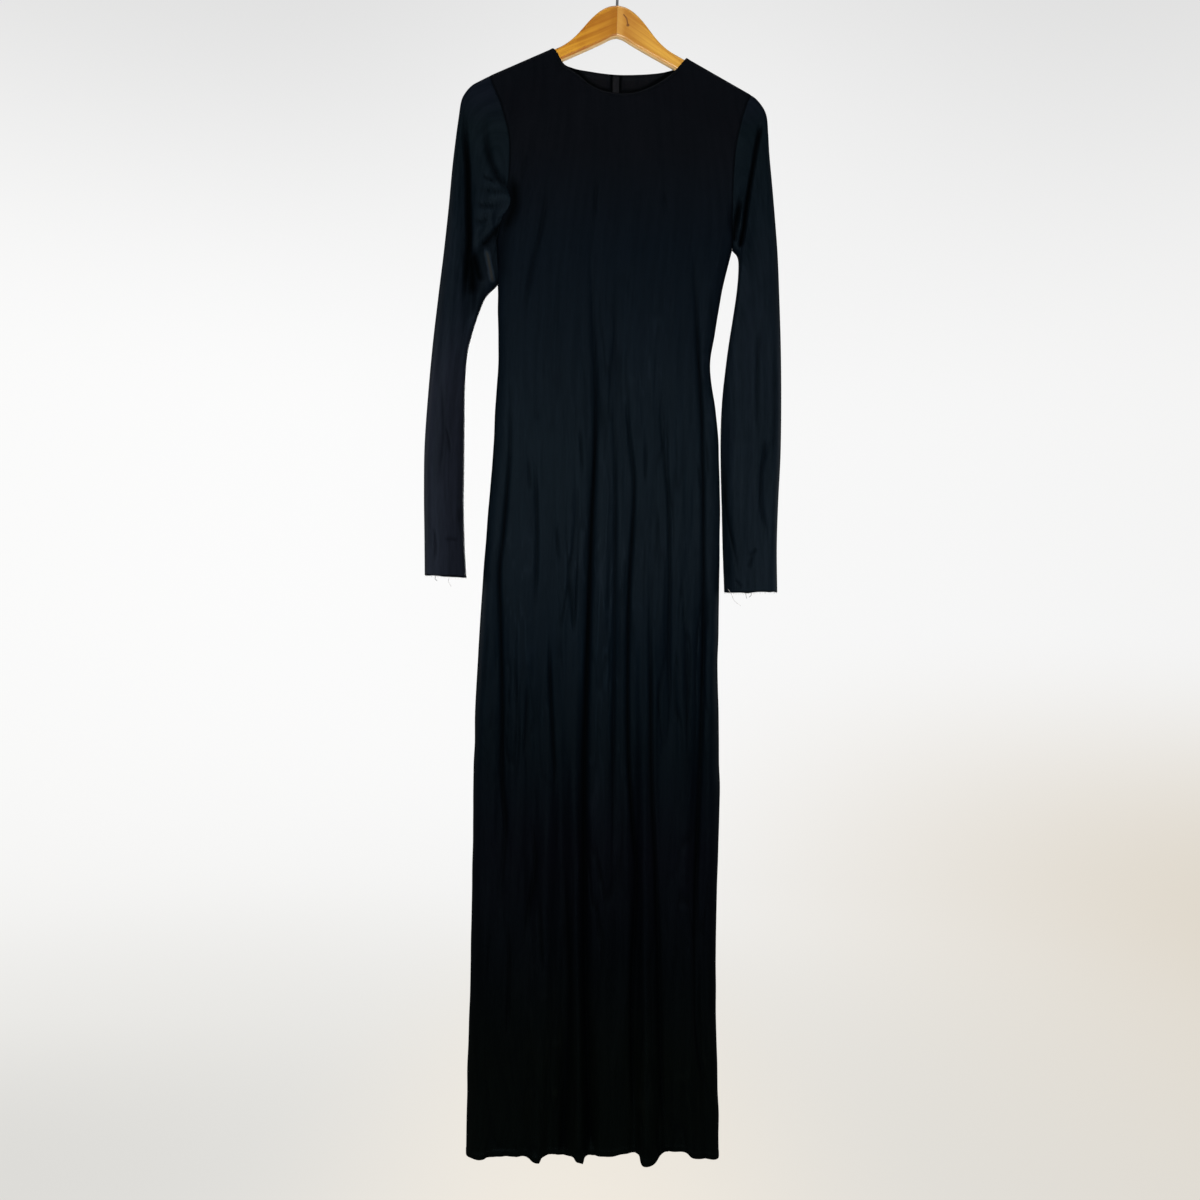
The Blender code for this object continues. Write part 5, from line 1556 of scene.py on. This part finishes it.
def sewAlong(name, paths, made, values, material=blackThread):
    # runs a tree along paths and keeps what it makes as a plain mesh; paths and values are in millimetres
    tree, ids = made
    points, edges = [], []
    for path in paths:
        edges += [(len(points) + k, len(points) + k + 1) for k in range(len(path) - 1)]
        points += list(path)
    obj = addObject(name, meshFrom(name, points, edges, []))
    nodes = obj.modifiers.new("sewing", "NODES")
    nodes.node_group = tree
    for label, value in values.items():
        nodes[ids[label]] = value * mm
    nodes[ids["Material"]] = material
    applyModifiers(obj)
    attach(obj, "root")
    return obj


def alongNeck(face, below):
    # a line on the outside of a panel, that far below its neck edge
    x = np.linspace(dress["neckRight"][0] + 4.0, dress["neckLeft"][0] - 4.0, 240)
    slope = np.gradient(topEdge(x, face), x)
    across = (x - dress["shoulderRight"][0]) / shoulderWidth
    height = topEdge(x, face) - dress["underarmRight"]
    point, normal = panelNormal(face, across, np.clip(below * np.sqrt(1 + slope**2), 0.0, 9.0) / height)
    return point + normal * (0.5 * dress["turnedWall"] + 0.02)


def alongHem(face, above):
    across = np.linspace(0.012, 0.988, 420)
    long = dress["underarmRight"] - dress["hemRight"]
    point, normal = panelNormal(face, across, np.full_like(across, 2 - above / long))
    return point + normal * (0.5 * dress["turnedWall"] - 0.02)


def tapeLines():
    # where the tape is sewn down, near its two ends
    stitch, middle = tape["stitch"], tapePoints[:, tape["grid"][0] // 2]
    lines = []
    for down in tape["stitched"]:
        z = float(topEdge(np.array(tape["x"]), "back")) - tape["drop"] - tape["length"] * down
        y = float(np.interp(-z, -middle[:, 2], middle[:, 1])) - 0.5 * tape["thickness"]
        lines.append([(tape["x"] - stitch["reach"], y + stitch["rise"], z), (tape["x"], y - 0.02, z),
                      (tape["x"] + stitch["reach"], y + stitch["rise"], z)])
    return lines


def cuffEdge(side):
    end, run = np.array([float(len(sleeveRings[side]))]), np.linspace(0.0, 1.0, 80)
    front, back = [sleeveSide(side, face, end, run)[0][0] for face in ("front", "back")]
    return np.concatenate([front, back[::-1]])


stitches, fraying = stitchTree(), frayTree()
neck, hem, fray = thread["neck"], thread["hem"], thread["fray"]
faces = ("front", "back")
neckStitches = sewAlong("neckStitches", [alongNeck(face, neck["below"]) for face in faces], stitches, {
    "Pitch": neck["pitch"], "Length": neck["length"], "Thread": thread["radius"],
})
hemStitches = sewAlong("hemStitches", [alongHem(face, hem["above"]) for face in faces], stitches, {
    "Pitch": hem["pitch"], "Length": hem["length"], "Thread": thread["radius"],
})
tapeStitches = sewAlong("tapeStitches", tapeLines(), stitches, {
    "Pitch": tape["stitch"]["pitch"], "Length": tape["stitch"]["length"], "Thread": tape["stitch"]["thread"],
})
sewAlong("cuffFray", [cuffEdge("right"), cuffEdge("left")], fraying, {
    "Spacing": fray["spacing"], "Length": fray["length"], "Thread": fray["radius"],
})

looseThreads = {  # x and z of each thread hanging at a cuff, and its thickness
    "threadPale": ([(170, -843), (175, -849), (179, -858), (188, -865)], 0.22, paleThread),
    "threadLeft": ([(201, -844), (202, -850), (199, -853)], 0.3, blackThread),
    "threadLeftShort": ([(193, -844), (195, -851), (196, -855)], 0.24, blackThread),
    "threadRight": ([(-223, -832), (-225, -839), (-222, -842)], 0.3, blackThread),
    "threadRightLong": ([(-205, -834), (-207, -842), (-203, -849)], 0.2, paleThread),
}
for name, (points, radius, material) in looseThreads.items():
    flat = smoothPath(points, 1.2)
    y = -9.0 + 2.0 * np.sin(np.linspace(0.0, 3.0, len(flat)))  # each curls a little forwards and back
    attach(tubeMesh(name, np.stack([flat[:, 0], y, flat[:, 1]], axis=1), radius, 6, material), "root")
print("sewing made")


studio = {
    "floorZ": -1.76,
    "radius": 3.3,
    "fillet": 1.1,
    "wallTop": 2.8,
    "paint": (0.02, 0.02, 0.02),
    "brightest": (0.95, 0.95, 0.95),  # painted pool of light at the height of the waist
    "above": (0.70, 0.70, 0.70),
    "floor": (0.74, 0.73, 0.70),
    "floorRight": (0.72, 0.65, 0.54),  # warmer to the right
    "floorUnder": (0.85, 0.80, 0.72),
    "litSide": 1.025,
    "farSide": 0.965,
    "halo": 0.10,  # painted light: how much lighter high up behind the hanger
    "highLeft": 0.045,  # and painted shade: how much darker in the corners at the left
    "lowLeft": 0.085,
    "turns": 96,
    "reach": {  # metres between which each tone comes in: up, away from the dress or to its side
        "above": (-0.25, 2.2),
        "floor": ((0.0, 3.4), (0.6, 4.0)),
        "under": ((0.0, 2.0), (0.0, 0.6)),
        "lowRight": ((0.0, 3.0), (-1.76, -0.9), (-1.6, 0.0)),
        "sides": (-2.4, 2.4),
        "high": (0.1, 1.4),
        "middle": (0.0, 1.7),
        "highLeft": (-2.2, 0.4),
        "lowLeft": ((0.2, 1.0), (-1.1, -0.1), (-1.76, -1.2)),
    },
}


def stageGlow(start, place):
    # the stage's own glow, painted light and shade: brightest at the height of the waist, duller above, and
    # warmer low down and to the right
    spot = place.split()
    depth, height = spot.other("Y"), spot.other("Z")
    sideways, away = start.maths("ABSOLUTE", spot), start.maths("ABSOLUTE", depth)
    reach = studio["reach"]
    glow = height.between(*reach["above"]).mix(studio["brightest"], studio["above"])
    for name, tone in (("floor", "floor"), ("under", "floorUnder")):
        far, wide = reach[name]
        glow = ((1 - away.between(*far)) * (1 - sideways.between(*wide))).mix(glow, studio[tone])
    wide, high, far = reach["lowRight"]
    lowRight = (spot - (height + 0.9) * 0.4).between(*wide) * (1 - height.between(*high))
    lowRight = lowRight * depth.between(*far)
    glow = lowRight.mix(glow, studio["floorRight"])
    glow = glow.tinted(spot.between(*reach["sides"]).mix((studio["litSide"],) * 3, (studio["farSide"],) * 3))
    middle = 1 - start.maths("ABSOLUTE", spot - 0.3).between(*reach["middle"])
    corner = 1 - spot.between(*reach["highLeft"])
    tint = 1 + height.between(*reach["high"]) * (middle * studio["halo"] - corner * studio["highLeft"])
    far, wide, high = reach["lowLeft"]
    corner = (1 - depth.between(*far)) * (1 - spot.between(*wide)) * (1 - height.between(*high))
    tint = tint - corner * studio["lowLeft"]
    return start.node("ShaderNodeVectorMath", {"operation": "SCALE"}, {0: glow, "Scale": tint})


def makeStage():
    # a round floor that sweeps up into a wall
    floor, fillet, turns = studio["floorZ"], studio["fillet"], studio["turns"]
    inner = studio["radius"] - fillet
    profile = [(0.001, floor)] + [(inner * k / 6, floor) for k in range(1, 7)]
    for angle in np.linspace(0.0, 0.5 * math.pi, 13)[1:]:
        profile.append((inner + fillet * math.sin(angle), floor + fillet * (1 - math.cos(angle))))
    profile.append((studio["radius"], studio["wallTop"]))
    angles = np.arange(turns) * 2 * math.pi / turns
    points = [[(r * math.cos(t), r * math.sin(t), z) for t in angles] for r, z in profile]
    mesh = meshFrom("studioFloor", points, [], gridFaces(len(profile), turns, True, False), 1.0)
    mesh.shade_smooth()
    obj = addObject("studioFloor", mesh)
    # the stage glows by itself with this painted light and shade; its paint is nearly black
    material, start, shader = newMaterial("paleGlowingStage", {
        "Roughness": 0.95, "Specular IOR Level": 0.0, "Emission Strength": 1.0,
    })
    place = start.inMetres()
    tone = place.noise(0.8).mix(studio["paint"], tuple(c * 0.97 for c in studio["paint"]))
    feed(shader, {"Base Color": tone, "Emission Color": stageGlow(start, place)})
    mesh.materials.append(material)
    obj.visible_diffuse = False  # the room's light on the dress comes from the lamps and the world
    obj.visible_glossy = False
    obj.visible_shadow = False


makeStage()

lights = {  # place, target, size, power, colour
    "front": ((-0.25, -2.0, -0.60), (0.0, 0.0, -0.72), 0.55, 46.0, (1.0, 0.995, 0.98)),
    "left": ((-1.65, -1.0, -0.20), (0.0, 0.0, -0.60), 0.6, 3.0, (1.0, 0.985, 0.96)),
    "rightSide": ((-2.1, 0.25, -0.55), (0.0, 0.0, -0.75), 0.7, 24.0, (1.0, 1.0, 1.0)),
    "leftSide": ((2.1, 0.25, -0.55), (0.0, 0.0, -0.75), 0.7, 24.0, (1.0, 1.0, 1.0)),
    "above": ((0.0, -0.35, 1.5), (0.0, 0.0, -0.6), 0.9, 14.0, (1.0, 1.0, 1.0)),
    "right": ((1.7, -1.0, -0.40), (0.0, 0.0, -0.60), 0.6, 7.0, (0.97, 0.985, 1.0)),
    "rear": ((0.3, 2.2, -0.45), (0.0, 0.0, -0.75), 0.8, 50.0, (1.0, 1.0, 1.0)),
}
for name, (place, target, size, power, colour) in lights.items():
    lamp = bpy.data.lights.new(name, "AREA")
    lamp.size, lamp.energy, lamp.color = size, power, colour
    obj = addObject(name, lamp)
    obj.location = place
    obj.rotation_euler = (Vector(target) - Vector(place)).to_track_quat("-Z", "Y").to_euler()
    obj.visible_camera = False

room = {"colour": (1.0, 1.0, 1.0, 1.0), "strength": 0.12}
world = bpy.data.worlds.new("softRoom")
bpy.context.scene.world = world
world.use_nodes = True
background = world.node_tree.nodes["Background"]
background.inputs["Color"].default_value = room["colour"]
background.inputs["Strength"].default_value = room["strength"]

view = {"place": (-0.0018, -1.7, -0.8621), "roll": math.radians(1.5), "lens": 37.64, "sensor": 36.0}
camera = addObject("camera", bpy.data.cameras.new("camera"))
camera.data.lens, camera.data.sensor_width = view["lens"], view["sensor"]
level = Matrix.Rotation(math.radians(90.0), 4, "X")
camera.matrix_world = Matrix.Translation(view["place"]) @ level @ Matrix.Rotation(view["roll"], 4, "Z")
bpy.context.scene.camera = camera
bpy.context.scene.view_settings.view_transform = "Standard"
print("stage, lights and camera made")
